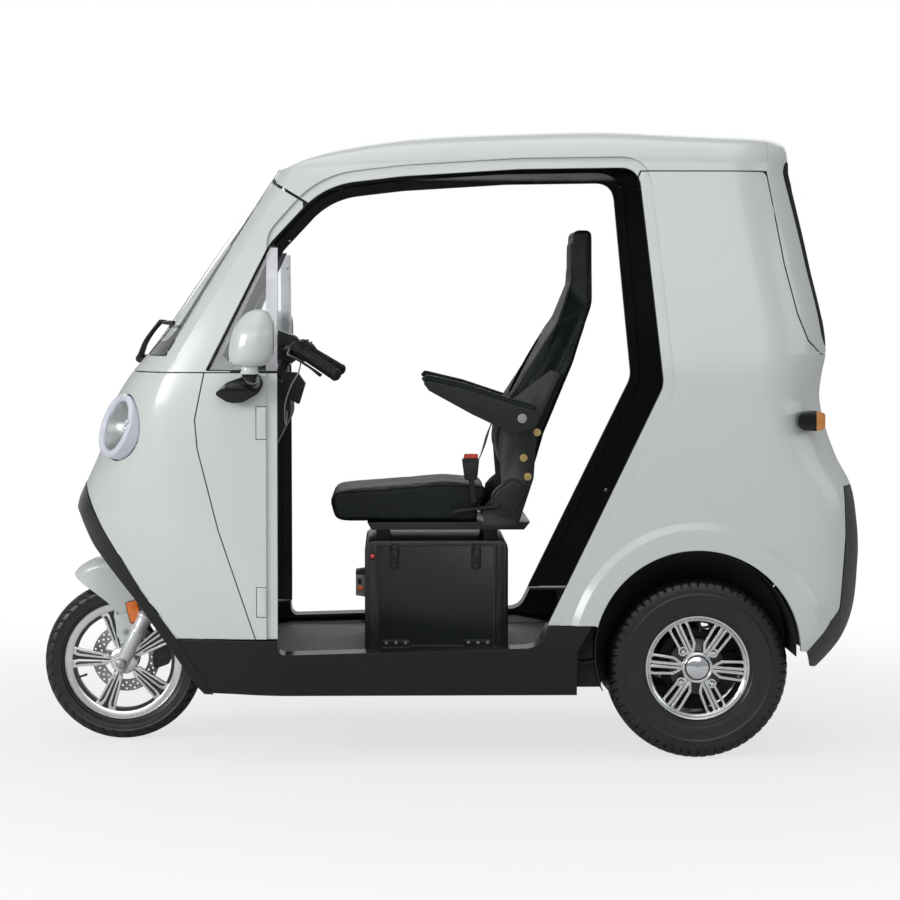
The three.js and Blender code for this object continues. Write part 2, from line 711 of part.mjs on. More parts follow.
add("rear_axle", cut(rearAxle, box(600, 950, -RAIL_Y - 23, 20.5 - RAIL_Y, 210, 285), box(600, 950, RAIL_Y - 20.5, RAIL_Y + 23, 210, 285)), STEEL);

// ---------------------------------------------------------------- wheels

// A tyre's section, radius against y: the tread and walls outside, hollow towards the rim.
function tyreSection(radius, rim, width, bead) {
  const h = width / 2;
  const wall = (rim + radius) / 2;
  const right = [[rim, bead - 10], [rim, bead], [wall, h], [radius - 16, h * 0.94], [radius - 4, h * 0.7]];
  const inside = [[wall, h * 0.84], [radius - 18, h * 0.6]];
  const mirror = (list) => list.map(([r, y]) => [r, -y]);
  return [...mirror(right), [radius, 0], ...right.slice().reverse(), ...inside, ...mirror(inside).reverse(), [rim, 10 - bead]];
}

// A wheel's barrel section with its two lips.
function barrelSection(rim, width) {
  const h = width / 2;
  const right = [[rim - 0.4, 0], [rim - 0.4, h * 0.88], [rim + 9, h], [rim - 7, h - 4], [rim - 7, 0]];
  return [...right, ...right.slice(1, 4).map(([r, y]) => [r, -y]).reverse(), right[0]];
}

const moved = (made, { x = 0, y = 0, z = 0 }) => solid(geometryOf(made).translate(x, y, z));

// A flat spoke piece in the wheel's plane, from corners (distance from the hub, sideways offset).
function spoke(corners, y0, y1, degrees) {
  const g = new THREE.ExtrudeGeometry(outline(corners), { depth: y1 - y0, bevelEnabled: false, curveSegments: 2 });
  return solid(g.rotateX(Math.PI / 2).translate(0, y1, 0).rotateY((-degrees * Math.PI) / 180));
}

// Front wheel: five pairs of bars that spread from the hub to the rim, with a narrow gap between them.
const WHEEL_SIDES = 22;
const FRONT_SPOKES = { count: 5, first: 176, face: -27, back: -9 };
const FRONT_BAR = [[28, 1], [28, 18], [140, 31], [161, 32], [161, 13], [132, 7]];
const opposite = (corners) => corners.map(([r, s, c]) => [r, -s, c]).reverse();
const around = ({ count, first }, make) => Array.from({ length: count }, (_, i) => make(first + (360 / count) * i)).flat();
const frontWheel = join(
  turned(barrelSection(FRONT_AXLE.rim, 84), 0, 0, WHEEL_SIDES),
  turned([[0, -34], [28, -34], [38, -26], [38, -6], [30, 0], [30, 36], [0, 36]], 0, 0, 16),
  ...around(FRONT_SPOKES, (a) =>
    [FRONT_BAR, opposite(FRONT_BAR)].map((bar) => spoke(bar, FRONT_SPOKES.face, FRONT_SPOKES.back, a)),
  ),
);
const axleHole = (radius) => bar([0, -200, 0], [0, 200, 0], radius, 12);
add("front_rim", moved(cut(frontWheel, axleHole(10)), FRONT_AXLE), ALLOY);
const frontTyre = turned(
  tyreSection(FRONT_AXLE.radius, FRONT_AXLE.rim, FRONT_AXLE.tyre, 36.4),
  FRONT_AXLE.x,
  FRONT_AXLE.z,
  WHEEL_SIDES,
);
add("front_tyre", frontTyre, RUBBER);
const discRing = turned([[62, 40], [100, 40], [100, 44], [62, 44], [62, 40]], 0, 0, 24);
const discCarrier = turned([[30.4, 37], [40, 37], [40, 47], [30.4, 47], [30.4, 37]], 0, 0, 16);
const discArms = around({ count: 5, first: 20 }, (a) => [spoke([[34, -7], [34, 7], [66, 5], [66, -5]], 40, 44, a)]);
add("brake_disc", moved(join(discRing, discCarrier, ...discArms), FRONT_AXLE), STEEL);

// Rear wheel: six pairs of open, leaf-shaped loops between the hub and the rim.
const REAR_SPOKES = { count: 6, first: -5, face: -44, back: -26 };
const LOOP = [[34, 0.5], [58, 22], [126, 25], [136, 17], [126, 4], [60, 3]];
const LOOP_HOLE = [[50, 9], [62, 17], [122, 19.5], [128, 16], [121, 9.5], [62, 8.5]];
const loops = around(REAR_SPOKES, (a) =>
  [LOOP, opposite(LOOP)].map((loop) => spoke(loop, REAR_SPOKES.face, REAR_SPOKES.back, a)),
);
const loopHoles = around(REAR_SPOKES, (a) =>
  [LOOP_HOLE, opposite(LOOP_HOLE)].map((hole) => spoke(hole, REAR_SPOKES.face - 5, REAR_SPOKES.back + 5, a)),
);
const nuts = around({ count: 4, first: 42 }, (a) => {
  const [x, z] = [61 * Math.cos((a * Math.PI) / 180), 61 * Math.sin((a * Math.PI) / 180)];
  return [bar([x, -38, z], [x, -6, z], 9, 6)];
});
const rearWheel = join(
  cut(join(turned(barrelSection(REAR_AXLE.rim, 108), 0, 0, WHEEL_SIDES), ...loops), ...loopHoles),
  turned([[0, -56], [26, -54], [33, -46], [38, -30], [76, -14], [76, 2], [0, 2]], 0, 0, 12),
  ...nuts,
);
const leftRear = { x: REAR_AXLE.x, y: -REAR_AXLE.y, z: REAR_AXLE.z };
addPair("rear_rim", moved(rearWheel, leftRear), ALLOY);
const rearTyre = turned(tyreSection(REAR_AXLE.radius, REAR_AXLE.rim, REAR_AXLE.tyre, 47), 0, 0, WHEEL_SIDES);
addPair("rear_tyre", moved(rearTyre, leftRear), RUBBER);

// ---------------------------------------------------------------- front fork, handlebar and fender

const LEG_Y = 84;
const fork = join(
  ...[-1, 1].flatMap((side) => [
    bar(onAxis(-26, side * LEG_Y, FORK_OFFSET), onAxis(150, side * LEG_Y, FORK_OFFSET), 21, 12),
    bar(onAxis(140, side * LEG_Y, FORK_OFFSET), onAxis(292, side * LEG_Y, FORK_OFFSET), 16, 10),
  ]),
  bar(onAxis(0, -LEG_Y, FORK_OFFSET), onAxis(0, -42, FORK_OFFSET), 14, 10),
  bar(onAxis(0, 50, FORK_OFFSET), onAxis(0, LEG_Y, FORK_OFFSET), 14, 10),
  bar(onAxis(0, -LEG_Y - 26, FORK_OFFSET), onAxis(0, LEG_Y + 26, FORK_OFFSET), 8, 8),
);
// The plate that clamps the legs to the stem narrows towards the rear, to swing clear of the struts.
const CLAMP = [
  [-54, -62, 8], [-46, -106, 10], [-14, -106, 10], [-8, -74, 8], [14, -44, 12], [22, 0],
  [14, 44, 12], [-8, 74, 8], [-14, 106, 10], [-46, 106, 10], [-54, 62, 8],
];
const clampPlate = (t0, t1) => {
  const g = new THREE.ExtrudeGeometry(outline(CLAMP), { depth: t1 - t0, bevelEnabled: false, curveSegments: 2 });
  return solid(g.rotateY(RAKE).translate(...onAxis(t0)));
};
// The caliper straddles the disc behind the right fork leg.
const caliper = cut(
  prism([[-862, 196], [-818, 212], [-801, 258], [-818, 288], [-850, 280], [-868, 236]], 34, 66),
  turned([[0, 38.5], [106, 38.5], [106, 45.5], [0, 45.5]], FRONT_AXLE.x, FRONT_AXLE.z, 16),
  turned([[0, 0], [60, 0], [60, 90], [0, 90]], FRONT_AXLE.x, FRONT_AXLE.z, 16),
);
const caliperArm = prism([[-900, 262], [-858, 226], [-838, 262], [-880, 330]], 60, 72);
add("front_fork", join(fork, clampPlate(266, 284), bar(onAxis(270), onAxis(840), 16, 12), caliper, caliperArm), STEEL);

// Handlebar: a bar with rubber grips, switch boxes, brake levers and a small display in the middle.
const GRIP = { y0: 245, y1: 352, z0: 1140, z1: 1080, x0: -408, x1: -312 };
const gripEnd = (side, t) => [
  GRIP.x0 + (GRIP.x1 - GRIP.x0) * t,
  side * (GRIP.y0 + (GRIP.y1 - GRIP.y0) * t),
  GRIP.z0 + (GRIP.z1 - GRIP.z0) * t,
];
const barHalf = (side) => [
  sweep([[-462, 0, 1146], [-458, side * 110, 1150], gripEnd(side, 0), gripEnd(side, 1)], 12, 6, 3),
  bar(gripEnd(side, 0.12), gripEnd(side, 1.02), 17, 8),
  bar(gripEnd(side, -0.26), gripEnd(side, 0.06), 24, 8),
  sweep(
    [
      [gripEnd(side, -0.12)[0] - 24, gripEnd(side, -0.12)[1], GRIP.z0 + 6],
      [gripEnd(side, 0.3)[0] - 52, gripEnd(side, 0.3)[1] + side * 14, 1140],
      [gripEnd(side, 0.95)[0] - 42, gripEnd(side, 0.95)[1] + side * 28, 1098],
    ],
    5,
    3,
    2,
  ),
  bar([gripEnd(side, -0.12)[0] + 4, gripEnd(side, -0.12)[1], GRIP.z0], [gripEnd(side, -0.12)[0] - 26, gripEnd(side, -0.12)[1], GRIP.z0 + 6], 9, 6),
];
const display = prism([[-500, 1166], [-430, 1148], [-424, 1172, 6], [-438, 1187, 6], [-494, 1206, 10]], -62, 62);
add(
  "handlebar",
  join(
    ...barHalf(-1),
    ...barHalf(1),
    bar(onAxis(840.4), onAxis(1035), 18, 12),
    display,
    prism([[-496, 1120], [-440, 1110], [-430, 1150], [-494, 1168]], -40, 40),
  ),
  MATT_BLACK,
);

// Front fender: a channel with a rounded crown, one row per station. Columns: distance along the
// vehicle, height of the crown, height of the side's lower edge, half width.
const FENDER = [
  [-1088, 492, 486, 20],
  [-1062, 516, 462, 48],
  [-1027, 534, 436, 62],
  [-990, 541, 408, 64.5],
  [-950, 538, 372, 64.5],
  [-900, 520, 330, 64],
  [-862, 494, 372, 64],
  [-820, 458, 410, 62],
];
const fenderForm = (inset, drop) =>
  loft(
    FENDER.map(([x, top, foot, half], i) => {
      const [t, h] = [top - inset, half - inset];
      const f = Math.min(foot, t - 3) - drop;
      const at = x + (i === 0 ? inset * 2 : i === FENDER.length - 1 ? drop : 0);
      const side = [[h, f], [h, t - Math.min(30, (t - f) * 0.8)], [h * 0.86, t - 11], [h * 0.5, t - 2]];
      return [...side.map(([y, z]) => [at, y, z]), [at, 0, t], ...side.reverse().map(([y, z]) => [at, -y, z])];
    }),
  );
const fenderBracket = (side) =>
  prism([[-966, 372], [-962, 306], [-940, 292], [-916, 290], [-884, 340], [-884, 380]], side * 66 - 3, side * 66 + 3);
const reflectorShape = [[-934, 405], [-902, 415], [-888, 358], [-920, 347]];
add(
  "front_fender",
  cut(
    join(
      cut(fenderForm(0, 0), fenderForm(4, 40)),
      ...[-1, 1].flatMap((side) => [fenderBracket(side), prism(reflectorShape, side * 71 - 4, side * 71 + 4)]),
    ),
    ...[-1, 1].map((side) => bar(onAxis(-60, side * LEG_Y, FORK_OFFSET), onAxis(320, side * LEG_Y, FORK_OFFSET), 21.5, 12)),
  ),
  PAINT,
);

// ---------------------------------------------------------------- battery box and driver's seat

const BOX = { x0: -233, x1: 179, half: 225, z0: FLOOR + 0.4, z1: 600, wall: 3 };
const DOOR_EDGE = { x0: -195, x1: 144, z0: 292.4, z1: 594 };
add(
  "battery_box",
  join(
    cut(
      prism([[BOX.x0, BOX.z0], [BOX.x1, BOX.z0], [BOX.x1, BOX.z1, 24], [BOX.x0, BOX.z1, 24]], -BOX.half, BOX.half),
      box(BOX.x0 + BOX.wall, BOX.x1 - BOX.wall, BOX.wall - BOX.half, BOX.half - BOX.wall, BOX.z0 + 3, BOX.z1 - 8),
      box(DOOR_EDGE.x0 + 14, DOOR_EDGE.x1 - 14, -BOX.half - 1, 0, DOOR_EDGE.z0 + 14, DOOR_EDGE.z1 - 14),
    ),
    box(BOX.x0 + 28, BOX.x1 - 28, 20 - BOX.half, BOX.half - 20, BOX.z0 + 1, BOX.z1 - 30),
    prism([[-259, 440], [BOX.x0 + 1, 436], [BOX.x0 + 1, 514], [-259, 510]], -190, -120),
  ),
  MATT_BLACK,
);
const HINGE = { y: -BOX.half - 8, z: 292, radius: 6 };
const HINGES = [[-184, -103], [52, 133]];
const LATCHES = [[-163, -135], [72, 101]];
add(
  "battery_door",
  join(
    box(DOOR_EDGE.x0, DOOR_EDGE.x1, -BOX.half - 5, -BOX.half - 0.4, DOOR_EDGE.z0, DOOR_EDGE.z1),
    ...HINGES.map(([x0, x1]) => bar([x0, HINGE.y, HINGE.z], [x1, HINGE.y, HINGE.z], HINGE.radius, 10)),
    ...HINGES.map(([x0, x1]) => box(x0, x1, -BOX.half - 7, -BOX.half - 4, HINGE.z, HINGE.z + 22)),
    ...LATCHES.map(([x0, x1]) => box(x0, x1, -BOX.half - 14, -BOX.half - 4, 522, 594)),
  ),
  MATT_BLACK,
);

// Driver's seat: a pressed base on four feet, side plates that carry the back and the armrests, and a
// round recliner cover on each side.
const SEAT_HALF = 220;
const PIVOT = { x: 215, z: 955 };
const sidePlate = [[110, 652], [206, 640], [252, 780], [262, 930], [330, 1080], [300, 1092], [168, 990, 30], [150, 880], [160, 760], [104, 690]];
const seatRail = prism([[-226, 652], [-214, 630], [226, 630], [244, 652]], -200, 200);
const seatSide = (side) => [
  prism(sidePlate, side * 226 - 3, side * 226 + 3),
  prism([[114, 728, 40], [196, 793, 40], [243, 740, 40], [166, 655, 40]], side * 238 - 9, side * 238 + 9),
  bar([28, side * 244, 690], [150, side * 244, 700], 7, 6),
  prism([[104, 640], [190, 640], [190, 651], [104, 651]], side * 214 - 16, side * 214 + 12),
];
const FEET = [[-180, -160], [-180, 160], [130, -160], [130, 160]];
add(
  "seat_frame",
  join(
    seatRail,
    ...FEET.map(([x, y]) => box(x - 20, x + 20, y - 20, y + 20, 600.4, 632)),
    ...seatSide(-1),
    ...seatSide(1),
    bar([PIVOT.x, -262, PIVOT.z], [PIVOT.x, 262, PIVOT.z], 9, 10),
  ),
  STEEL,
);
// A soft pad: a side-view outline pushed across the seat, with its ends drawn in to round them off.
function pad(corners, half, draw) {
  const [cx, cz] = [0, 1].map((k) => corners.reduce((sum, c) => sum + c[k], 0) / corners.length);
  const shape = outline(corners).extractPoints(2).shape;
  const ring = (y, inset) =>
    shape.map((p) => {
      const out = new THREE.Vector2(p.x - cx, p.y - cz);
      const reach = Math.max(out.length() - inset, 1) / out.length();
      return [cx + out.x * reach, y, cz + out.y * reach];
    });
  return loft([ring(-half, draw), ring(-half + draw * 0.8, 0), ring(half - draw * 0.8, 0), ring(half, draw)]);
}
add(
  "seat_cushion",
  pad([[-343, 716, 24], [-326, 658, 20], [98, 653.5], [98, 700], [138, 758, 20], [0, 770, 60], [-200, 754, 60], [-326, 743, 30]], SEAT_HALF, 14),
  LEATHER,
);
const back = pad(
  [[164, 792, 20], [142, 870, 60], [150, 940, 80], [182, 1016, 80], [322, 1234, 80], [366, 1350, 60], [368, 1500, 14], [428, 1504, 14], [428, 1285, 80], [370, 1113, 60], [282, 900, 60], [246, 782, 20]],
  SEAT_HALF - 4,
  12,
);
// The back narrows to a head rest at its top.
const backWidth = loft(
  [100, 460].map((x) =>
    [[-230, 760], [230, 760], [230, 1150], [206, 1230], [124, 1330], [108, 1400], [104, 1520], [-104, 1520], [-108, 1400], [-124, 1330], [-206, 1230], [-230, 1150]].map(
      ([y, z]) => [x, y, z],
    ),
  ),
);
add("seat_back", cut(common(back, backWidth), bar([PIVOT.x, -262, PIVOT.z], [PIVOT.x, 262, PIVOT.z], 10, 10)), LEATHER);

const ARM_Y = 276;
const armShape = [[-71, 1060, 10], [-58, 1080, 10], [60, 1052, 60], [180, 1012, 40], [262, 988, 20], [262, 930, 30], [196, 914, 30], [128, 940, 40], [70, 968], [-50, 1030, 12]];
const armrest = (side) =>
  cut(prism(armShape, side * ARM_Y - 30, side * ARM_Y + 30), bar([PIVOT.x, side * 230, PIVOT.z], [PIVOT.x, side * 330, PIVOT.z], 10, 10));
add("left_armrest", armrest(-1), LEATHER);
add("right_armrest", armrest(1), LEATHER);

// The belt is clipped in: it comes over the right side of the back, crosses it to the buckle on the
// left of the cushion, and goes back across the lap to the right.
function strap(points, width, thickness) {
  const at = points.map((p) => new THREE.Vector3(...p));
  return loft(
    at.map((p, i) => {
      const along = at[Math.min(i + 1, at.length - 1)].clone().sub(at[Math.max(i - 1, 0)]).normalize();
      const flat = new THREE.Vector3().crossVectors(along, new THREE.Vector3(...points[i].slice(3))).normalize();
      const normal = new THREE.Vector3().crossVectors(flat, along).normalize();
      return [[-1, -1], [1, -1], [1, 1], [-1, 1]].map(([a, b]) =>
        p.clone().addScaledVector(flat, (a * width) / 2).addScaledVector(normal, (b * thickness) / 2).toArray(),
      );
    }),
  );
}
const BELT_PATH = [
  [330, 196, 1296, -1, 0, 0.3],
  [300, 176, 1222, -1, 0, 0.6],
  [225, 110, 1112, -1, 0, 0.6],
  [158, 30, 1006, -1, 0, 0.4],
  [124, -70, 930, -1, 0, 0.1],
  [104, -170, 862, -1, 0, 0],
  [84, -244, 812, -1, -0.4, 0],
];
add(
  "seat_belt",
  join(
    strap(BELT_PATH.map(([x, y, z, ...n]) => [x, y, z, ...n]), 46, 2.4),
    prism([[44, 852, 6], [96, 852, 6], [90, 776, 6], [52, 776, 6]], -262, -238),
    prism([[60, 780], [82, 780], [88, 716], [70, 716]], -254, -248.5),
  ),
  WEBBING,
);

// ---------------------------------------------------------------- passenger bench

add("bench_cushion", prism([[545, 602], [980, 602], [980, 700, 30], [560, 715, 40], [535, 660, 30]], -430, 430, 3), LEATHER);
add("bench_back", prism([[985, 640, 10], [1020, 640, 10], [1000, 1120, 20], [930, 1120, 30]], -340, 340, 3), LEATHER);

// ---------------------------------------------------------------- lamps, mirrors, wiper

// Headlamp: a bowl behind a domed lens with a raised ring round it.
const lampProfile = [[0, -50], [50, -50], [LAMP.radius, -26], [LAMP.radius, 10], [84, 15], [76, 8], [50, 15], [0, 19]];
const lampGeometry = new THREE.LatheGeometry(lampProfile.map(([r, y]) => new THREE.Vector2(r, y)), 16)
  .applyQuaternion(new THREE.Quaternion().setFromUnitVectors(new THREE.Vector3(0, 1, 0), lampAxis))
  .translate(...lampPoint(0));
addPair("headlamp", solid(lampGeometry), LENS);

// Mirror: an egg-shaped head, leaning back a little and cut off flat for its glass, on a round neck over
// a leaf-shaped foot that is screwed to the front panel.
const MIRROR = { x: -528, y: -682, foot: 1111, lean: 0.16, back: -472 };
const EGG = [[0, 0], [34, 0], [52, 12], [61, 40], [62, 66], [57, 98], [43, 128], [24, 147], [0, 153]]; // radius, height
const egg = new THREE.LatheGeometry(EGG.map(([r, h]) => new THREE.Vector2(r, h)), 14).rotateX(Math.PI / 2);
egg.applyMatrix4(new THREE.Matrix4().set(1, 0, MIRROR.lean, -8, 0, 1.12, 0, 0, 0, 0, 1, 0, 0, 0, 0, 1));
const head = cut(solid(egg.translate(MIRROR.x, MIRROR.y, MIRROR.foot)), box(MIRROR.back, -400, -800, -600, 1100, 1300));
const neck = join(
  bar([-536, MIRROR.y, 1084], [-536, MIRROR.y, 1114], 21, 10),
  bar([-536, MIRROR.y, 1084], [-532, -585, 1070], 20, 8, 17),
  bar([-532, -590, 1071], [-534, -540, 1052], 17, 8, 22),
);
const leaf = common(
  prism([[-640, 1032, 8], [-606, 1064, 40], [-562, 1080, 30], [-520, 1090, 20], [-504, 1060, 24], [-520, 1034, 30], [-560, 1010, 50], [-600, 1007, 50]], -600, -480, 2),
  solid(new THREE.SphereGeometry(1, 14, 8).scale(94, 56, 64).translate(-570, -512, 1044)),
);
addPair("mirror", cut(join(head, neck, leaf), bodyForm(-0.4)), PAINT);
// Side lamp at the rear corner: a dark wedge with an amber end under a clear tip.
const sideLamp = prism([[962, 934, 22], [962, 980, 22], [1012, 985, 10], [1037, 978, 10], [1037, 934, 10], [1012, 929, 10]], -548, -400, 3);
addPair("rear_lamp", cut(sideLamp, bodyForm(-0.4), box(900, 1100, -470, 0, 900, 1000)), AMBER);
add(
  "wiper",
  cut(
    join(
      bar([-870, -20, 1112], [-898, -20, 1124], 17, 12),
      bar([-894, -20, 1122], [-868, -90, 1172], 9, 8, 7),
      bar([-868, -90, 1172], [-812, -190, 1232], 7, 8, 6),
      common(cut(bodyForm(-22), bodyForm(-2)), box(-900, -600, -360, 20, 1219, 1233)),
    ),
    bodyForm(-0.4),
  ),
  MATT_BLACK,
);

export default parts;
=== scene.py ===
"""Electric tuk-tuk: a three-wheeled cabin vehicle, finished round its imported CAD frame.

Metres, with +Z up, -X forward and +Y the vehicle's right-hand side. Tables hold millimetres.
"""

import json
import math

import bmesh
import bpy
import numpy as np
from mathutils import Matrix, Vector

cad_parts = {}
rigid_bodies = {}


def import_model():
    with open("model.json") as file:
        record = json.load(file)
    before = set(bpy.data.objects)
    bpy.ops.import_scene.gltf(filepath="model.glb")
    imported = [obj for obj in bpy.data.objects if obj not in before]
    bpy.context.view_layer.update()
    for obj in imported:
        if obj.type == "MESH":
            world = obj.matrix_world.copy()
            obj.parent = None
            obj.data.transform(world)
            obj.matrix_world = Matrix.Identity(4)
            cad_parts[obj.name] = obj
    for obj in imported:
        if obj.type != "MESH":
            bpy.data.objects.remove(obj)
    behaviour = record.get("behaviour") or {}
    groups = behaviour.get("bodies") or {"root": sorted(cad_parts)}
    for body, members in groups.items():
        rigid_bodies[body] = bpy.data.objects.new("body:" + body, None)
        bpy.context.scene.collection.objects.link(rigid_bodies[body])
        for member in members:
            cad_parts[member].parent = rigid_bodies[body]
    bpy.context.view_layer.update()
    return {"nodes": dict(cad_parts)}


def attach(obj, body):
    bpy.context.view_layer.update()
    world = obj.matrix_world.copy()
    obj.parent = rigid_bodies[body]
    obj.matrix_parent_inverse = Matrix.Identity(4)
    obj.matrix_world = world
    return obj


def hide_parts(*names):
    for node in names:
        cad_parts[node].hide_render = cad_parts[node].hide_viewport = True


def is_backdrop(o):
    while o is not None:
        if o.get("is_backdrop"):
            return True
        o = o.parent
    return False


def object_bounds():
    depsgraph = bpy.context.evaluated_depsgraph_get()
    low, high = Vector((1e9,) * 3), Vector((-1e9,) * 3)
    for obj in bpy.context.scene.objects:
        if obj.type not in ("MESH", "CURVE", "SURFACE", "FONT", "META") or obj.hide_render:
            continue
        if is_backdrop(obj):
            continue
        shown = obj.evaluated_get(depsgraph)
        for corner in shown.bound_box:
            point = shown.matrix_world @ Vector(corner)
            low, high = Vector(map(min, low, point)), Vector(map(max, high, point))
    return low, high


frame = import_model()

# ---------------------------------------------------------------- studio
# A pale floor under an even white sky, with a long soft box overhead and a broad one on each side.
# The camera stands far off with a long lens, a little above the cabin's waist, and looks at the left side.

def put_in(name, data):
    """A new object in the scene."""
    made = bpy.data.objects.new(name, data)
    bpy.context.scene.collection.objects.link(made)
    return made


camera = put_in("camera", bpy.data.cameras.new("camera"))
camera.data.lens, camera.data.sensor_width = 103.04, 36.0
camera.data.clip_start, camera.data.clip_end = 0.1, 200.0
camera.location = (-0.154, -7.6, 1.251)
camera.rotation_euler = (math.radians(86.978), 0.0, math.radians(-1.288))
bpy.context.scene.camera = camera
bpy.context.scene.view_settings.view_transform = "Standard"

SOFT_BOXES = [  # place, turn in degrees, width, length, watts
    ((0.1, -0.4, 4.6), (0, 0, 0), 3.2, 6.0, 52),
    ((-0.6, -6.4, 3.2), (66, 0, -5), 6.5, 2.6, 96),
    ((0.4, 6.0, 3.2), (-64, 0, 0), 6.0, 2.6, 50),
    ((-4.8, -3.4, 2.4), (0, -74, 38), 1.6, 3.6, 150),
    ((5.6, -2.4, 2.4), (0, 70, -20), 2.0, 4.2, 34),
]
for i, (place, turn, width, length, watts) in enumerate(SOFT_BOXES):
    lamp = bpy.data.lights.new(f"soft_box_{i}", "AREA")
    lamp.shape, lamp.size, lamp.size_y, lamp.energy = "RECTANGLE", width, length, watts
    holder = put_in(f"soft_box_{i}", lamp)
    holder.location = place
    holder.rotation_euler = [math.radians(a) for a in turn]


def shader(owner):
    """The node tree of a material or world, emptied."""
    owner.use_nodes = True
    tree = owner.node_tree
    tree.nodes.clear()
    return tree


def material(name):
    """A new material and its empty node tree."""
    made = bpy.data.materials.new(name)
    return made, shader(made)


def node(tree, kind, settings=None, **sockets):
    """Adds a shader node. settings are its own properties; sockets are the names of inputs, with _ for a
    space, or their numbers after an _, each with a value or a link."""
    made = tree.nodes.new("ShaderNode" + kind)
    for key, value in (settings or {}).items():
        setattr(made, key, value)
    for key, value in sockets.items():
        names = [s for s in made.inputs if s.name.replace(" ", "_") == key and s.enabled]
        socket = names[0] if names else made.inputs[int(key[1:])]
        if isinstance(value, bpy.types.NodeSocket):
            tree.links.new(value, socket)
        else:
            socket.default_value = value
    return made


def place_on(tree):
    """The place on the piece, in its own frame."""
    return node(tree, "TexCoord").outputs["Object"]


def seen_directly(tree):
    """1 for what the camera sees, straight on or through glass."""
    path = node(tree, "LightPath")
    either = node(tree, "Math", {"operation": "MAXIMUM"}, _0=path.outputs["Is Camera Ray"],
        _1=path.outputs["Is Transmission Ray"])
    return either.outputs[0]


sky = bpy.data.worlds.new("sky")
bpy.context.scene.world = sky
tree = shader(sky)
direction = node(tree, "TexCoord").outputs["Generated"]
height = node(tree, "SeparateXYZ", _0=direction).outputs["Z"]
glow = node(tree, "ValToRGB", _0=height)
glow.color_ramp.elements[0].position, glow.color_ramp.elements[0].color = 0.0, (0.33, 0.34, 0.345, 1)
glow.color_ramp.elements[1].position, glow.color_ramp.elements[1].color = 0.75, (0.50, 0.51, 0.515, 1)
shown = node(tree, "Mix", {"data_type": "RGBA"}, Factor=seen_directly(tree), A=glow.outputs[0])
shown.inputs[7].default_value = (1, 1, 1, 1)
backdrop = node(tree, "Background", Color=shown.outputs[2], Strength=1.0)
node(tree, "OutputWorld", Surface=backdrop.outputs[0])

FLOOR_HALF, FADE_FROM, FADE_TO = 14.0, 1.3, 3.4  # in metres; the floor fades out between the last two
floor_mesh = bpy.data.meshes.new("floor")
corners = np.array([(-1, -1, 0), (1, -1, 0), (1, 1, 0), (-1, 1, 0)], float) * FLOOR_HALF
floor_mesh.from_pydata(corners.tolist(), [], [(0, 1, 2, 3)])
put_in("floor", floor_mesh)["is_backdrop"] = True
floor_paper, tree = material("floor_paper")
far = node(tree, "VectorMath", {"operation": "LENGTH"}, _0=place_on(tree)).outputs["Value"]
fade = node(tree, "MapRange", {"interpolation_type": "SMOOTHSTEP"}, Value=far, From_Min=FADE_FROM,
    From_Max=FADE_TO, To_Min=0.72)
white = node(tree, "Math", {"operation": "MULTIPLY"}, _0=fade.outputs[0], _1=seen_directly(tree))
paper = node(tree, "BsdfDiffuse", Color=(0.66, 0.66, 0.66, 1))
bright = node(tree, "Emission", Color=(1, 1, 1, 1), Strength=1.0)
mixed = node(tree, "MixShader", _0=white.outputs[0], _1=paper.outputs[0], _2=bright.outputs[0])
node(tree, "OutputMaterial", Surface=mixed.outputs[0])
floor_mesh.materials.append(floor_paper)

# ---------------------------------------------------------------- painted body
# Glass-fibre mouldings about 6 mm thick in a pale pearl grey under clear lacquer: a nose with a hard
# crease on each side, front panels, a windscreen surround, a domed roof, rear quarters and a tail.

SKIN, REBATE, REBATE_WIDTH, SEAM = 6, 8, 30, 3
BELT, ROOF_EDGE, GLASS_FOOT, WAIST, BUMPER_TOP = 1091, 1650, 1134, 1140, 772
WIDE = 640
CREASE_TURN, BOW = 1.02, 1.737  # the nose's turn up to its crease, in radians, and the bow's power
SECTIONS = np.array([  # z, front, squareness, crease x and y, side x, half width, rear, corner, squareness
    (190, -1010, 2.4, -585, 462, -440, 500, 1000, 250, 4),
    (345, -1030, 2.5, -628, 480, -440, 531, 1135, 250, 4),
    (560, -1058, 2.6, -712, 485, -440, 535, 1177, 250, 4),
    (700, -1068, 2.8, -754, 481, -440, 531, 1170, 250, 4),
    (770, -1040, 3, -772, 478, -440, 529, 1158, 260, 3.8),
    (850, -1004, 3, -788, 473, -440, 527, 1120, 260, 3.4),
    (1010, -952, 3, -796, 465, -440, 521, 1078, 250, 3),
    (1091, -900, 2.9, -772, 462, -440, 517, 1086, 250, 3),
    (1140, -858, 2.8, -745, 461, -430, 513, 1096, 250, 3),
    (1400, -674, 2.8, -585, 446, -350, 485, 1048, 250, 3),
    (1650, -494, 2.8, -432, 418, -220, 452, 990, 240, 3),
], float)
ROOF_LINE = np.array([(-492, 1672), (-420, 1704), (-300, 1736), (-100, 1762), (180, 1777), (450, 1783),
    (653, 1774), (770, 1769), (900, 1766), (990, 1766)], float)
ROOF_ROUND, ROOF_BACK = 2.7, 12.0  # how round the dome is at its front and sides, and at its squarer rear end


def through(at, knots, values):
    """A smooth line through knots: cubic pieces whose slope at a knot is the mean of the two beside it."""
    at = np.clip(at, knots[0], knots[-1])
    slopes = np.diff(values) / np.diff(knots)
    slopes = np.r_[slopes[0], (slopes[1:] + slopes[:-1]) / 2, slopes[-1]]
    i = np.clip(np.searchsorted(knots, at) - 1, 0, len(knots) - 2)
    h = knots[i + 1] - knots[i]
    t = (at - knots[i]) / h
    return ((1 + 2 * t) * (1 - t) ** 2 * values[i] + t * (1 - t) ** 2 * h * slopes[i] + t * t * (3 - 2 * t)
        * values[i + 1] + t * t * (t - 1) * h * slopes[i + 1])


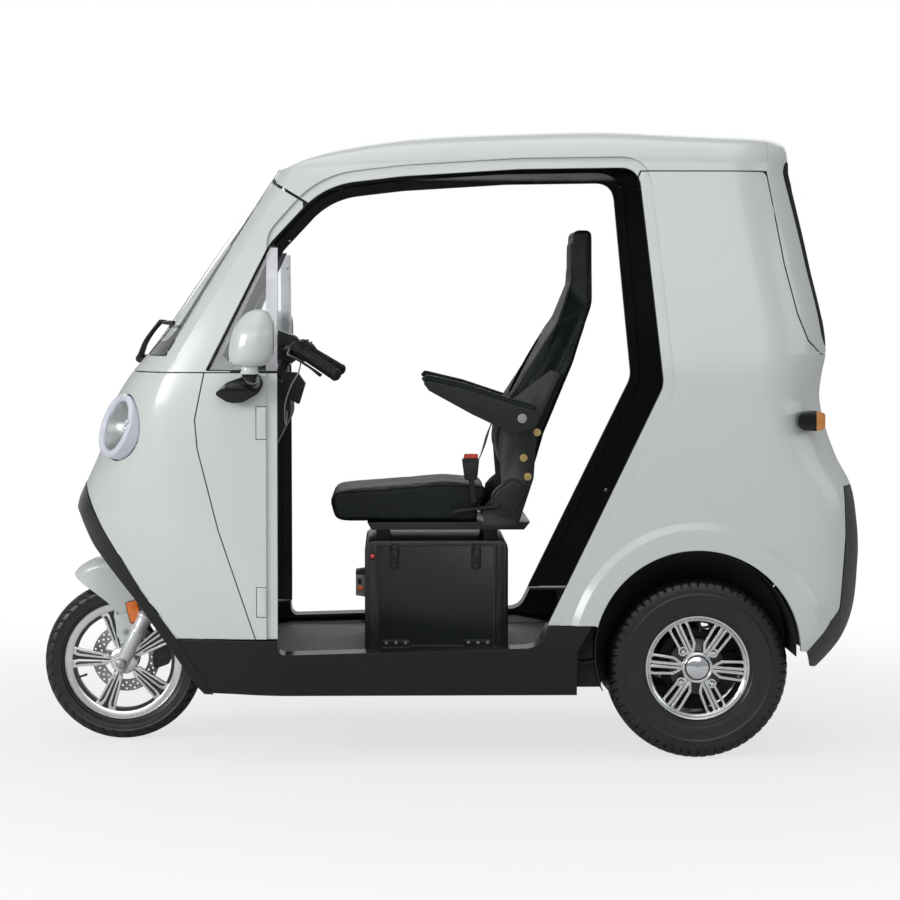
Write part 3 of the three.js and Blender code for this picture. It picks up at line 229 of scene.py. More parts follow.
def smoothed(mesh, sharp):
    """Shades a mesh smooth, but for its edges sharper than an angle in degrees."""
    mesh.shade_smooth()
    mesh.set_sharp_from_angle(angle=math.radians(sharp))


def piece(points, faces, smooth=30.0, name="piece"):
    """An object from arrays of points in millimetres and faces, with its edges sharper than an angle kept."""
    mesh = bpy.data.meshes.new(name)
    mesh.from_pydata((np.asarray(points, float).reshape(-1, 3) / 1000).tolist(), [], [list(f) for f in faces])
    smoothed(mesh, smooth)
    return put_in(name, mesh)


def points_of(made):
    """A piece's points in millimetres."""
    points = np.empty(len(made.data.vertices) * 3)
    made.data.vertices.foreach_get("co", points)
    return points.reshape(-1, 3) * 1000


def faces_of(made):
    """A piece's faces, each as a list of its points' numbers."""
    return [list(face.vertices) for face in made.data.polygons]


def moved(made, points):
    """The piece with its points at new places, in millimetres."""
    made.data.vertices.foreach_set("co", (points / 1000).ravel())
    return made


def baked(made, sharp):
    """The piece with its modifiers made part of its mesh."""
    bpy.context.view_layer.update()
    mesh = bpy.data.meshes.new_from_object(made.evaluated_get(bpy.context.evaluated_depsgraph_get()))
    made.modifiers.clear()
    made.data = mesh
    smoothed(mesh, sharp)
    return made


def rings_to_faces(rings, around, capped=True):
    """Quads between rings of points, ring by ring, with a flat cap over each end ring."""
    step = np.arange(around)
    one = np.stack([step, (step + 1) % around, (step + 1) % around + around, step + around], 1)
    faces = (one[None] + np.arange(rings - 1)[:, None, None] * around).reshape(-1, 4).tolist()
    if capped:
        faces += [list(range(around))[::-1], list(range((rings - 1) * around, rings * around))]
    return faces


def plan_line(z, inset, fine):
    """Half of the body's plan at heights z, from the nose to the tail, moved in by inset: part of a
    superellipse to the crease, a parabola-like bow to the full width, a straight side and a superellipse
    corner. Returns x and y, one row for each height."""
    front, square, crease_x, crease_y, side_x, half, rear, corner, rear_square = [through(z, SECTIONS[:, 0],
        SECTIONS[:, k])[:, None] for k in range(1, 10)]
    front, rear, half = front + inset, rear - inset, half - inset
    crease_x, crease_y = crease_x + 0.5 * inset, crease_y - 0.9 * inset
    turn = CREASE_TURN * np.linspace(0, 1, 14 * fine) ** 1.4
    along, across = np.cos(turn) ** (2 / square), np.sin(turn) ** (2 / square)
    nose_x = front + (crease_x - front) * (1 - along) / (1 - along[:, -1:])
    nose_y = crease_y * across / across[:, -1:]
    t = np.linspace(0, 1, 7 * fine)[1:]
    bow_x, bow_y = crease_x + t * (side_x - crease_x), crease_y + (half - crease_y) * (1 - (1 - t) ** BOW)
    t = np.linspace(0, 1, 8 * fine)[1:-1]
    flat_x = side_x + t * (rear - corner - side_x)
    t = np.linspace(1, 0, 15 * fine)
    turn = t**2 / (t**2 + (1 - t) ** 2) * math.pi / 2
    tail_x = rear - corner + corner * np.cos(turn) ** (2 / rear_square)
    tail_y = half * np.sin(turn) ** (2 / rear_square)
    return np.hstack([nose_x, bow_x, flat_x, tail_x]), np.hstack([nose_y, bow_y, half + 0 * flat_x, tail_y])


def body_form(inset, fine=2):
    """The whole body as one closed form, moved in by inset: plan lines stacked up to the roof's edge, then
    the last one drawn in to the middle under a superellipse dome that follows the roof line. Behind its
    middle the dome is the product of a round rise across and a squarer one along."""
    z = np.unique(np.r_[np.linspace(SECTIONS[0, 0], ROOF_EDGE, 32 * fine), SECTIONS[:, 0]])
    x, y = plan_line(z, inset, fine)
    z = np.repeat(z[:, None], x.shape[1], 1)
    z[0] += inset
    middle, half = (x[-1, 0] + x[-1, -1]) / 2, (x[-1, -1] - x[-1, 0]) / 2
    turn = np.linspace(0, math.pi / 2, 12 * fine)[1:-1, None]
    share = np.cos(turn) ** (2 / ROOF_ROUND)
    dome_x, dome_y = middle + (x[-1] - middle) * share, y[-1] * share
    across = np.clip(dome_y / np.maximum(np.interp(dome_x, x[-1], y[-1]), 1.0), 0, 1)
    along = np.clip((dome_x - middle) / half, 0, 1)
    rear_rise = (1 - across**ROOF_ROUND) ** (1 / ROOF_ROUND) * (1 - along**ROOF_BACK) ** (1 / ROOF_BACK)
    rise = np.where(along > 0, rear_rise, (1 - share**ROOF_ROUND) ** (1 / ROOF_ROUND))
    roof = through(dome_x, ROOF_LINE[:, 0], ROOF_LINE[:, 1]) - inset
    x, y = np.vstack([x, dome_x]), np.vstack([y, dome_y])
    z = np.vstack([z, ROOF_EDGE + (roof - ROOF_EDGE) * rise])
    left, right = np.stack([x, -y, z], 2), np.stack([x, y, z], 2)[:, -2:0:-1]
    rings = np.concatenate([left, right], 1)
    return piece(rings, rings_to_faces(*rings.shape[:2]))


def outline(corners, fine=12):
    """Corners (x, z, radius) as a closed line. Each corner is a quadratic curve that starts the radius times
    the tangent of half the turn before it."""
    at = np.array([c[:2] for c in corners], float)
    radius = np.array([c[2] if len(c) > 2 else 0.0 for c in corners])
    before, after = np.roll(at, 1, 0) - at, np.roll(at, -1, 0) - at
    a, b = np.linalg.norm(before, axis=1), np.linalg.norm(after, axis=1)
    turn = math.pi - np.arccos(np.clip((before * after).sum(1) / a / b, -1, 1))
    reach = np.minimum(radius * np.tan(np.minimum(turn, 3.0) / 2), np.minimum(a, b) * 0.49)
    start, end = at + before * (reach / a)[:, None], at + after * (reach / b)[:, None]
    t = np.linspace(0, 1, fine)[None, :, None]
    line = (1 - t) ** 2 * start[:, None] + 2 * t * (1 - t) * at[:, None] + t * t * end[:, None]
    line = line.reshape(-1, 2)
    apart = np.linalg.norm(line - np.roll(line, 1, 0), axis=1) > 0.05
    return line[apart]


def way_round(line):
    """1 for a closed line that runs round one way and -1 for the other, by the sign of its area."""
    x, z = line[:, 0], line[:, 1]
    return int(np.sign((x * np.roll(z, -1) - z * np.roll(x, -1)).sum()))


def grown(corners, by):
    """The corners of an outline moved outwards by a distance along the middle of the two sides' normals."""
    at = np.array([c[:2] for c in corners], float)
    sides = np.roll(at, -1, 0) - at
    normal = np.stack([sides[:, 1], -sides[:, 0]], 1) / np.linalg.norm(sides, axis=1)[:, None] * way_round(at)
    mitre = normal + np.roll(normal, 1, 0)
    mitre /= np.linalg.norm(mitre, axis=1)[:, None]
    at = at + mitre * (by / np.maximum((mitre * normal).sum(1), 0.4))[:, None]
    return [(p[0], p[1], (c[2] if len(c) > 2 else 0) + by) for p, c in zip(at, corners)]


def prism(corners, low=-WIDE, high=WIDE, fine=12):
    """A side-view outline pushed across the vehicle from y low to y high."""
    line = outline(corners, fine)
    line = line[::way_round(line)]
    n = len(line)
    rings = np.concatenate([np.stack([line[:, 0], np.full(n, y), line[:, 1]], 1) for y in (high, low)])
    return piece(rings, rings_to_faces(2, n))


def rect(x0, x1, z0, z1, *radii):
    """The corners of a rectangle, with one radius for all or one for its foot and one for its top."""
    foot, top = radii[:1], radii[-1:]
    return [(x0, z0, *foot), (x1, z0, *foot), (x1, z1, *top), (x0, z1, *top)]


def block(x0, x1, y0, y1, z0, z1):
    """A box between two corners, as a prism."""
    return prism(rect(x0, x1, z0, z1), y0, y1, 2)


def closed_faces(rings, around):
    """Quads between rings of points whose last ring meets the first."""
    return np.array(rings_to_faces(rings + 1, around, False)) % (rings * around)


def turned(profile, x, z, sides=96, smooth=30.0):
    """A closed profile of (radius, y) turned about the Y axis through (x, z)."""
    profile = np.array(profile, float)
    turn = np.arange(sides) * 2 * math.pi / sides
    radius, along = profile[:, :1], profile[:, 1:]
    rings = np.stack([x + radius * np.cos(turn), along + 0 * turn, z + radius * np.sin(turn)], 2)
    return welded(piece(rings, closed_faces(len(profile), sides)[:, ::way_round(profile)], smooth), smooth)


def welded(made, smooth=30.0):
    """Merges a piece's doubled points, drops what has shrunk to nothing and turns its faces outwards."""
    mesh = bmesh.new()
    mesh.from_mesh(made.data)
    bmesh.ops.remove_doubles(mesh, verts=mesh.verts, dist=1e-6)
    bmesh.ops.dissolve_degenerate(mesh, edges=mesh.edges, dist=1e-7)
    bmesh.ops.recalc_face_normals(mesh, faces=mesh.faces)
    mesh.to_mesh(made.data)
    mesh.free()
    smoothed(made.data, smooth)
    return made


def kept(made):
    """Marks a tool that is used more than once, so that shaping with it doesn't use it up."""
    made["kept"] = True
    return made


def shaped(body, way, tools):
    """The body joined with, cut by or limited to each tool in turn, as a new piece. The body and the tools
    are used up unless they are marked as kept."""
    made = put_in("shaped", body.data.copy())
    for tool in tools:
        step = made.modifiers.new("step", "BOOLEAN")
        step.operation, step.solver, step.object = way, "MANIFOLD", tool
    baked(made, 28)
    for used in {body, *tools}:
        if "kept" not in used:
            bpy.data.objects.remove(used)
    return made


def cut(body, *tools):
    """The body without the tools."""
    return shaped(body, "DIFFERENCE", tools)


def within(body, *tools):
    """What the body and each tool have in common."""
    return shaped(body, "INTERSECT", tools)


def joined(body, *tools):
    """The body and the tools as one."""
    return shaped(body, "UNION", tools)


def discard(*made):
    """Takes tools away once they have done their work."""
    for m in made:
        bpy.data.objects.remove(m)


DOOR = [(-470, 313, 45), (246, 332, 60), (597, 1054, 80), (531, 1657, 60), (200, 1652, 500),
    (-123, 1632, 500), (-342, 1606, 240), (-470, 1462, 60)]
OPENING = DOOR[:-1] + [(-492, 1446, 90), (-669, 1094, 4), (-470, 1094, 2)]
ARCH = (689, 313)
ARCH_RADIUS, FLARE_OUT, FLARE_FLAT, FLARE_SLOPE = 287, 14, 52, 30
LAMP, LAMP_RADIUS = np.array([-921.0, -358.0, 936.0]), 92
lean, swing = math.radians(17), math.radians(31)
LAMP_AXIS = np.array([-math.cos(lean) * math.cos(swing), -math.cos(lean) * math.sin(swing), math.sin(lean)])


def aimed(profile, place, axis, sides=96, smooth=30.0):
    """A closed profile of (radius, distance) turned about an axis through a place."""
    profile = np.array(profile, float)
    axis = np.array(axis, float) / np.linalg.norm(axis)
    side = np.cross(axis, (0, 0, 1) if abs(axis[2]) < 0.9 else (1, 0, 0))
    side /= np.linalg.norm(side)
    up = np.cross(side, axis)
    turn = np.arange(sides)[:, None] * 2 * math.pi / sides
    circle = side * np.cos(turn) + up * np.sin(turn)
    rings = np.array(place) + profile[:, :1, None] * circle[None] + profile[:, 1:, None] * axis
    return welded(piece(rings, closed_faces(len(profile), sides), smooth), smooth)


def limits(side, near=0.0, far=WIDE):
    """The reach across the body from near to far on one side, lowest first."""
    return sorted((side * near, side * far))


form = {inset: kept(body_form(inset)) for inset in (-2, -1, 0, 1, SKIN, REBATE - 1, REBATE, 13, 14)}
band = kept(prism(grown(DOOR, REBATE_WIDTH), fine=20))
outside = joined(cut(form[0], band), form[REBATE])
inside = joined(cut(form[SKIN], prism(grown(DOOR, REBATE_WIDTH + SKIN))), form[14])
far_out = ARCH_RADIUS + FLARE_FLAT
cone = [(1, -590), (far_out - 10, -590), (far_out, -550), (far_out + FLARE_SLOPE + 10, -520), (1, -520)]
flares = []
for side in (1, -1):
    rim = turned([(r, side * y) for r, y in cone], *ARCH, sides=144)
    rim = within(rim, body_form(-FLARE_OUT))
    flares.append(cut(rim, form[REBATE], band))
lamp_holes = [aimed(rect(0.5, LAMP_RADIUS + 3, -90, 90), LAMP * (1, s, 1), LAMP_AXIS * (1, s, 1))
    for s in (1, -1)]
wheel_hole = kept(turned(rect(0.5, ARCH_RADIUS, -WIDE, WIDE), *ARCH, sides=144))
doorway = kept(prism(OPENING, fine=24))
shell = joined(cut(outside, inside), *flares)
shell = kept(cut(shell, doorway, wheel_hole, *lamp_holes))


def effect(name, ins, outs):
    """A shader node group with named number inputs and outputs; returns its tree and its two end nodes."""
    tree = bpy.data.node_groups.new(name, "ShaderNodeTree")
    for label, value in ins.items():
        tree.interface.new_socket(label, in_out="INPUT", socket_type="NodeSocketFloat").default_value = value
    for label in outs:
        tree.interface.new_socket(label, in_out="OUTPUT", socket_type="NodeSocketFloat")
    return tree, tree.nodes.new("NodeGroupInput").outputs, tree.nodes.new("NodeGroupOutput").inputs


def math_of(tree, operation, a, b=0.0, clamp=False):
    """One sum on two values or sockets."""
    return node(tree, "Math", {"operation": operation, "use_clamp": clamp}, _0=a, _1=b).outputs[0]


# Cloudy is a slow change of tone over a surface. Dust is fine road dust that gathers in patches and thins
# out with height above the ground. Grain is the pebbled skin of a moulding or a hide. Rub is metal or
# plastic worn pale where a ridge stands out.
cloudy, ins, outs = effect("cloudy", {"Scale": 3.0}, ["Mask"])
cloud = node(cloudy, "TexNoise", Vector=place_on(cloudy), Scale=ins["Scale"], Detail=5.0, Roughness=0.6)
spread = node(cloudy, "MapRange", Value=cloud.outputs["Fac"], From_Min=0.3, From_Max=0.7)
cloudy.links.new(spread.outputs[0], outs["Mask"])

dust, ins, outs = effect("dust", {"Amount": 0.3, "Top": 0.7}, ["Mask"])
place = place_on(dust)
up = node(dust, "SeparateXYZ", _0=place).outputs["Z"]
low = node(dust, "MapRange", {"interpolation_type": "SMOOTHSTEP"}, Value=up, From_Max=ins["Top"], To_Min=1.0,
    To_Max=0.0)
speck = node(dust, "TexNoise", Vector=place, Scale=38.0, Detail=8.0, Roughness=0.75)
fleck = node(dust, "MapRange", Value=speck.outputs["Fac"], From_Min=0.42, From_Max=0.75)
both = math_of(dust, "MULTIPLY", low.outputs[0], fleck.outputs[0])
dust.links.new(math_of(dust, "MULTIPLY", both, ins["Amount"], True), outs["Mask"])

grain, ins, outs = effect("grain", {"Scale": 900.0, "Depth": 0.5}, ["Height"])
place = place_on(grain)
pebble = node(grain, "TexVoronoi", {"feature": "SMOOTH_F1"}, Vector=place, Scale=ins["Scale"])
soft = node(grain, "TexNoise", Vector=place, Scale=ins["Scale"], Detail=3.0)
sum_of = math_of(grain, "ADD", pebble.outputs["Distance"], math_of(grain, "MULTIPLY", soft.outputs["Fac"],
    0.5))
grain.links.new(math_of(grain, "MULTIPLY", sum_of, ins["Depth"]), outs["Height"])

rub, ins, outs = effect("rub", {"Amount": 0.5}, ["Mask"])
ridge = node(rub, "NewGeometry").outputs["Pointiness"]
edge = node(rub, "MapRange", Value=ridge, From_Min=0.53, From_Max=0.62)
patch = node(rub, "TexNoise", Vector=place_on(rub), Scale=60.0, Detail=6.0)
worn = math_of(rub, "MULTIPLY", edge.outputs[0], patch.outputs["Fac"])
rub.links.new(math_of(rub, "MULTIPLY", worn, ins["Amount"], True), outs["Mask"])


def use(tree, group, output, **numbers):
    """Places an effect in a material with its own numbers and returns the named output."""
    return node(tree, "Group", {"node_tree": group}, **numbers).outputs[output]


def mixed_colour(tree, share, a, b):
    """Colour a, turning to b as share goes to 1."""
    made = node(tree, "Mix", {"data_type": "RGBA"}, Factor=share)
    for socket, value in ((made.inputs[6], a), (made.inputs[7], b)):
        if isinstance(value, bpy.types.NodeSocket):
            tree.links.new(value, socket)
        else:
            socket.default_value = (*value, 1.0)
    return made.outputs[2]


def finish_of(name, colour, rough, metal=0.0, tone=0.88, cloud=3.0, dirt=0.0, top=0.7, pebble=None,
        rubbed=0.0, edge=0.0, **sockets):
    """A material: its colour drifts to tone times itself in clouds, takes dirt low down and rubs pale on its
    ridges; pebble is (scale, depth, height) of a grain; edge is the radius of its rounded corners."""
    made, tree = material(name)
    shade = mixed_colour(tree, use(tree, cloudy, "Mask", Scale=cloud), colour, [c * tone for c in colour])
    if rubbed:
        shade = mixed_colour(tree, use(tree, rub, "Mask", Amount=rubbed), shade,
            [min(1, c * 2 + 0.1) for c in colour])
    roughness = node(tree, "MapRange", Value=use(tree, cloudy, "Mask", Scale=cloud * 4), To_Min=rough * 0.9,
        To_Max=min(1.0, rough * 1.15)).outputs[0]
    if dirt:
        film = use(tree, dust, "Mask", Amount=dirt, Top=top)
        shade = mixed_colour(tree, film, shade, (0.36, 0.33, 0.29))
        roughness = math_of(tree, "ADD", roughness, math_of(tree, "MULTIPLY", film, 0.5), True)
    skin = node(tree, "BsdfPrincipled", Base_Color=shade, Roughness=roughness, Metallic=metal, **sockets)
    normal = node(tree, "Bevel", {"samples": 4}, Radius=edge).outputs[0] if edge else None
    if pebble:
        height = use(tree, grain, "Height", Scale=pebble[0], Depth=pebble[1])
        bump = node(tree, "Bump", Height=height, Distance=pebble[2], Strength=0.6)
        if normal:
            tree.links.new(normal, bump.inputs["Normal"])
        normal = bump.outputs[0]
    if normal:
        tree.links.new(normal, skin.inputs["Normal"])
    node(tree, "OutputMaterial", Surface=skin.outputs[0])
    return made


def finished(made, finish, stands_for=(), name=None, body="vehicle"):
    """Gives a piece its material and body, and hides the CAD nodes it stands for."""
    made.data.materials.clear()
    made.data.materials.append(finish)
    if name:
        made.name = name
    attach(made, body)
    if stands_for:
        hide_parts(*([stands_for] if isinstance(stands_for, str) else stands_for))
    return made


pearl = finish_of("pearl_lacquer", (0.53, 0.56, 0.535), 0.34, tone=0.965, cloud=1.4, dirt=0.06, top=0.5,
    edge=0.0035, pebble=(130.0, 0.3, 0.00012), Coat_Weight=0.8, Coat_Roughness=0.14, Coat_IOR=1.5)

FRONT_SEAM = [(-671, BELT), (-697, 960), (-690, 880), (-632, 654), (-534, 340)]
REAR_SEAM = [(889, 1648), (895, 1615), (936, 1389), (972, 1251), (1004, 1178), (1048, WAIST)]
TAIL_HALF, WINDOW_HALF, WINDOW_FOOT, WINDOW_TOP = 330, 318, 1226, 1616
GLASS_EDGE = [(-782, GLASS_FOOT), (-464, 1664)]
FRONT_PANEL = [(-671, BELT - SEAM), (-697, 960, 60), (-690, 880, 60), (-632, 654, 60), (-530, 354),
    (-440, 356), (-440, BELT - SEAM)]
REAR_PANEL = [(250, 392), (404, 392), (560, 330), (820, 330), (993, 318), (1034, 366, 30), (1088, 432, 40),
    (1104, 640), (1104, BUMPER_TOP), (1300, BUMPER_TOP), (1300, WAIST - SEAM),
    *[(x - SEAM, min(z, 1648) - SEAM, 20) for x, z in REAR_SEAM[::-1]], (537, 1645), (480, 1500),
    (430, 1400), (430, 900)]
PANELS = {  # the outline in side view that each panel is trimmed to, and its reach across the body
    "front_cowl": ([(-1110, BELT - SEAM), (-1110, 773), (-1034, 769), (-967, 648), (-854, 476), (-753, 347),
                    (-533, 354), *[(x - SEAM, z, 60) for x, z in FRONT_SEAM[3:0:-1]],
                    (-674, BELT - SEAM)], -WIDE, WIDE),
    "left_front_panel": (FRONT_PANEL, -WIDE, 0),
    "right_front_panel": (FRONT_PANEL, 0, WIDE),
    "windscreen_surround": ([(-920, BELT), (-600, BELT), (-400, 1440), (-400, 1560), (-486, 1612),
                             (-520, 1655), (-540, 1655)], -WIDE, WIDE),
    "roof": ([(-560, 1664), (-500, 1664), (-474, 1614), (-390, 1562), (-300, 1500), (470, 1500), (534, 1648),
              (889, 1648), (906, 1800), (-560, 1800)], -WIDE, WIDE),
    "left_rear_panel": (REAR_PANEL, -WIDE, 0),
    "right_rear_panel": (REAR_PANEL, 0, WIDE),
    "rear_window_frame": ([(x, z, 20) for x, z in REAR_SEAM] + [(1300, WAIST), (1300, 1820), (909, 1820)],
                          -WIDE, WIDE),
    "tail_panel": (rect(1000, 1300, BUMPER_TOP, WAIST - SEAM), SEAM - TAIL_HALF, TAIL_HALF - SEAM),
}


def across(corners, x0, x1):
    """An outline of (y, z, radius) seen from behind, pushed along the vehicle from x0 to x1."""
    made = prism(corners, x0, x1)
    moved(made, points_of(made)[:, [1, 0, 2]])
    made.data.flip_normals()
    return made


def window_hole(margin):
    """The rear window's rounded opening, made smaller by a margin."""
    a, b = WINDOW_HALF - margin, WINDOW_HALF - 30 - margin
    foot, top = WINDOW_FOOT + margin, WINDOW_TOP - margin
    return across([(-a, foot, 60), (a, foot, 60), (b, top, 60), (-b, top, 60)], 850, 1250)


glass_hole = kept(prism([(-900, GLASS_FOOT), *GLASS_EDGE, (-560, 1664)]))
for name, (region, low, high) in PANELS.items():
    panel = within(shell, prism(region, low, high))
    if name in ("windscreen_surround", "roof"):
        panel = cut(panel, glass_hole)
    if name == "rear_window_frame":
        panel = kept(cut(panel, window_hole(0)))
        seal, panel = within(panel, window_hole(-64)), cut(panel, window_hole(-64))
    if "rear_panel" in name:
        panel = cut(panel, block(900, 1300, -TAIL_HALF, TAIL_HALF, 700, 1200))
    finished(panel, pearl, name, name + "_skin")

# ---------------------------------------------------------------- glass
# Laminated windscreen and rear window with a black printed border, and a quarter light of clear acrylic
# bent back along the doorway.

def clear_of(name, colour, rough, **sockets):
    """A material that light passes through."""
    made, tree = material(name)
    pane = node(tree, "BsdfPrincipled", Base_Color=(*colour, 1), Roughness=rough, Transmission_Weight=1.0,
        **sockets)
    node(tree, "OutputMaterial", Surface=pane.outputs[0])
    return made


clear = clear_of("clear_glass", (0.93, 0.96, 0.95), 0.0, IOR=1.45, Specular_IOR_Level=0.5)
border = finish_of("black_border", (0.012, 0.012, 0.013), 0.12, Coat_Weight=1.0, Coat_Roughness=0.03)
finished(seal, finish_of("window_seal", (0.006, 0.007, 0.007), 0.7, tone=0.85, Specular_IOR_Level=0.1),
    name="rear_window_seal")
glazing = kept(cut(form[1], form[SKIN]))
PANES = {  # the hole each pane fills, and its clear part inside the border
    "windscreen": (prism([(-900, 1137), (-785, 1137), (-471, 1660), (-560, 1660)]),
                   across([(-385, 1172, 50), (385, 1172, 50), (330, 1632, 50), (-330, 1632, 50)], -1000,
                          -400)),
    "rear_window": (window_hole(SEAM), window_hole(SEAM + 34)),
}
for name, (hole, inner) in PANES.items():
    whole, inner = kept(within(glazing, hole)), kept(inner)
    finished(within(whole, inner), clear, name, name + "_pane")
    finished(cut(whole, inner), border, name=name + "_border")
    discard(whole, inner)

acrylic = clear_of("clear_acrylic", (0.90, 0.93, 0.93), 0.02, IOR=1.49)
frosted = finish_of("frosted_acrylic", (0.86, 0.86, 0.90), 0.3, tone=0.95, cloud=5.0, Coat_Weight=0.4,
    Transmission_Weight=0.7)
PILLAR_TRIM = [(-664, 1097), (-495, 1440), (-480, 1440), (-545, 1300), (-622, 1136), (-606, 1118),
    (-475, 1118), (-475, 1097)]
SIDES = ((-1, "left"), (1, "right"))
LINING, LINING_BACK, FRAME_BACK = 16, 24, 34  # how far inside the body the lining and its doorway frame lie
form.update({inset: kept(body_form(inset, 1)) for inset in (LINING, LINING_BACK, FRAME_BACK)})
for side, word in SIDES:
    skin = cut(form[REBATE], form[13])
    skin = within(skin, prism([(-659, BELT + 6), (-470, BELT + 6), (-470, 1434), (-492, 1434)],
        *limits(side)))
    flap = within(block(-474, -470, *limits(side, 440, 520), BELT + 8, 1432), form[REBATE])
    finished(joined(skin, flap), acrylic, word + "_quarter_light", word + "_quarter_pane")
    strip = cut(form[REBATE - 1], form[REBATE])
    strip = within(strip, prism([(-501, BELT + 4), (-470, BELT + 4), (-470, 1434), (-489, 1434),
        (-501, 1412)], *limits(side, 300)))
    finished(strip, frosted, name=word + "_quarter_strip")
    trim = within(cut(form[LINING], form[LINING_BACK]), prism(PILLAR_TRIM, *limits(side, 300)))
    finished(trim, border, name=word + "_pillar_trim")

# ---------------------------------------------------------------- black lower body
# The lip round the nose and the sills are gloss black mouldings; the bumper is grained black plastic.

gloss_black = finish_of("gloss_black", (0.006, 0.0075, 0.008), 0.16, tone=0.7, dirt=0.02, top=0.5,
    edge=0.005, Coat_Weight=0.15, Coat_Roughness=0.04, Specular_IOR_Level=0.26)
black_plastic = finish_of("black_plastic", (0.009, 0.011, 0.0115), 0.5, tone=0.8, dirt=0.05, top=0.8,
    edge=0.0015, pebble=(1400.0, 0.5, 0.00025), rubbed=0.08, Specular_IOR_Level=0.35)
bumper_plastic = finish_of("bumper_plastic", (0.032, 0.034, 0.035), 0.5, tone=0.85, dirt=0.12, top=0.9,
    edge=0.002, pebble=(1200.0, 0.5, 0.00025), Specular_IOR_Level=0.4)
LIP = [(-1110, 706), (-1054, 690, 40), (-1004, 598, 200), (-876, 450, 300), (-767, 303, 300),
    (-704, 214, 90), (-680, 190), (-655, 190), (-757, 343), (-857, 474, 300), (-970, 646, 300),
    (-1036, 766, 20), (-1110, 770)]
lip = within(form[-2], prism(LIP))
finished(cut(lip, form[REBATE]), gloss_black, "nose_lip", "nose_lip_skin")
bumper = within(form[0], prism([(1013, 269), (1034, 262), (1300, 262), (1300, 769), (1107, 769), (1107, 640),
    (1091, 432, 40), (1037, 363, 30), (996, 316)]))
finished(cut(bumper, body_form(10)), bumper_plastic, "rear_bumper", "rear_bumper_skin")

SILL_INNER, SCOOP_LEAN = 438, 0.26
SILL = [(-656, 194, 6), (358, 194), (358, 320), (398, 388), (275, 388), (246, 329, 60), (-468, 310, 45),
    (-472, 351), (-756, 344)]
SCOOP = [(-640, 420), (-575, 330, 90), (-520, 262, 60), (320, 262, 40), (372, 420), (372, 460)]


def leaning(made, angle, y, z):
    """Leans a piece by an angle about the vehicle's length and moves it to y and z, in millimetres."""
    points, cos, sin = points_of(made), math.cos(angle), math.sin(angle)
    points[:, 1:] = points[:, 1:] @ np.array([(cos, sin), (-sin, cos)]) + (y, z)
    return moved(made, points)


sill_form = cut(form[-1], prism(grown(DOOR, REBATE_WIDTH), fine=20))
sill_form = kept(joined(sill_form, form[REBATE - 1]))
for side, word in SIDES:
    notch = block(-800, -640, *limits(side, 430), 100, 340)
    strip = cut(prism(SILL, *limits(side, SILL_INNER), fine=24), notch)
    front = cut(form[-1], form[REBATE])
    made = within(sill_form, strip)
    made = joined(made, within(front, prism(SILL, *limits(side, 200))))
    scoop = leaning(block(-700, 500, *limits(side, 0, 90), 0, 140), -side * SCOOP_LEAN, side * 533, 262)
    scoop = within(scoop, prism(SCOOP, *limits(side, 300), fine=20))
    hollow = prism([(-632, 100), (350, 100), (350, 300), (236, 318), (-460, 300), (-632, 300)],
        *limits(side, SILL_INNER - 10))
    made = cut(made, scoop, within(hollow, form[14]))
    finished(made, gloss_black, word + "_sill", word + "_sill_skin")

# ---------------------------------------------------------------- inner lining
# Grained black plastic: a deep frame round each doorway, thin side walls and the roof lining.

lining = finish_of("lining_plastic", (0.007, 0.0085, 0.009), 0.45, tone=0.8, dirt=0.03, edge=0.002,
    pebble=(1500.0, 0.5, 0.0002), Specular_IOR_Level=0.3)
CABIN = [(-720, 360), (-420, 316), (420, 392), (1010, 620), (1030, 1150), (880, 1636), (-560, 1636)]
WINDSCREEN_SIDE = [(-1100, 1080), (-722, 1080), (-530, 1470), (-420, 1640), (-420, 1900), (-1100, 1900)]
for side, word in SIDES:
    wall = within(cut(form[LINING], form[LINING_BACK]), prism(CABIN, *limits(side, 300)))
    frame_ring = within(cut(form[LINING], form[FRAME_BACK]), prism(grown(OPENING, 30), *limits(side, 300),
        fine=20))
    made = cut(joined(wall, frame_ring), doorway, wheel_hole, prism(WINDSCREEN_SIDE),
        block(-1100, 1100, -WIDE, WIDE, 0, 352), block(200, 420, -WIDE, WIDE, 0, 391),
        block(-1100, 1100, -WIDE, WIDE, 1660.5, 1800))
    finished(made, lining, word + "_cabin_liner", word + "_lining")
made = within(cut(form[LINING], form[LINING_BACK]), prism([(-440, 1639), (880, 1639), (880, 1800),
    (-300, 1800), (-440, 1700)]))
made = cut(made, *[within(prism(grown(OPENING, 32)), block(-1100, 1100, *limits(s, 300), 1500, 1800))
    for s in (1, -1)])
finished(made, lining, "headliner", "roof_lining")

# ---------------------------------------------------------------- wheels
# Cast alloy wheels with a turned lip and black enamel behind it, on moulded tyres. The front one has five
# pairs of pocketed bars; the rear ones have six pairs of open loops, four nuts and a pressed cap.

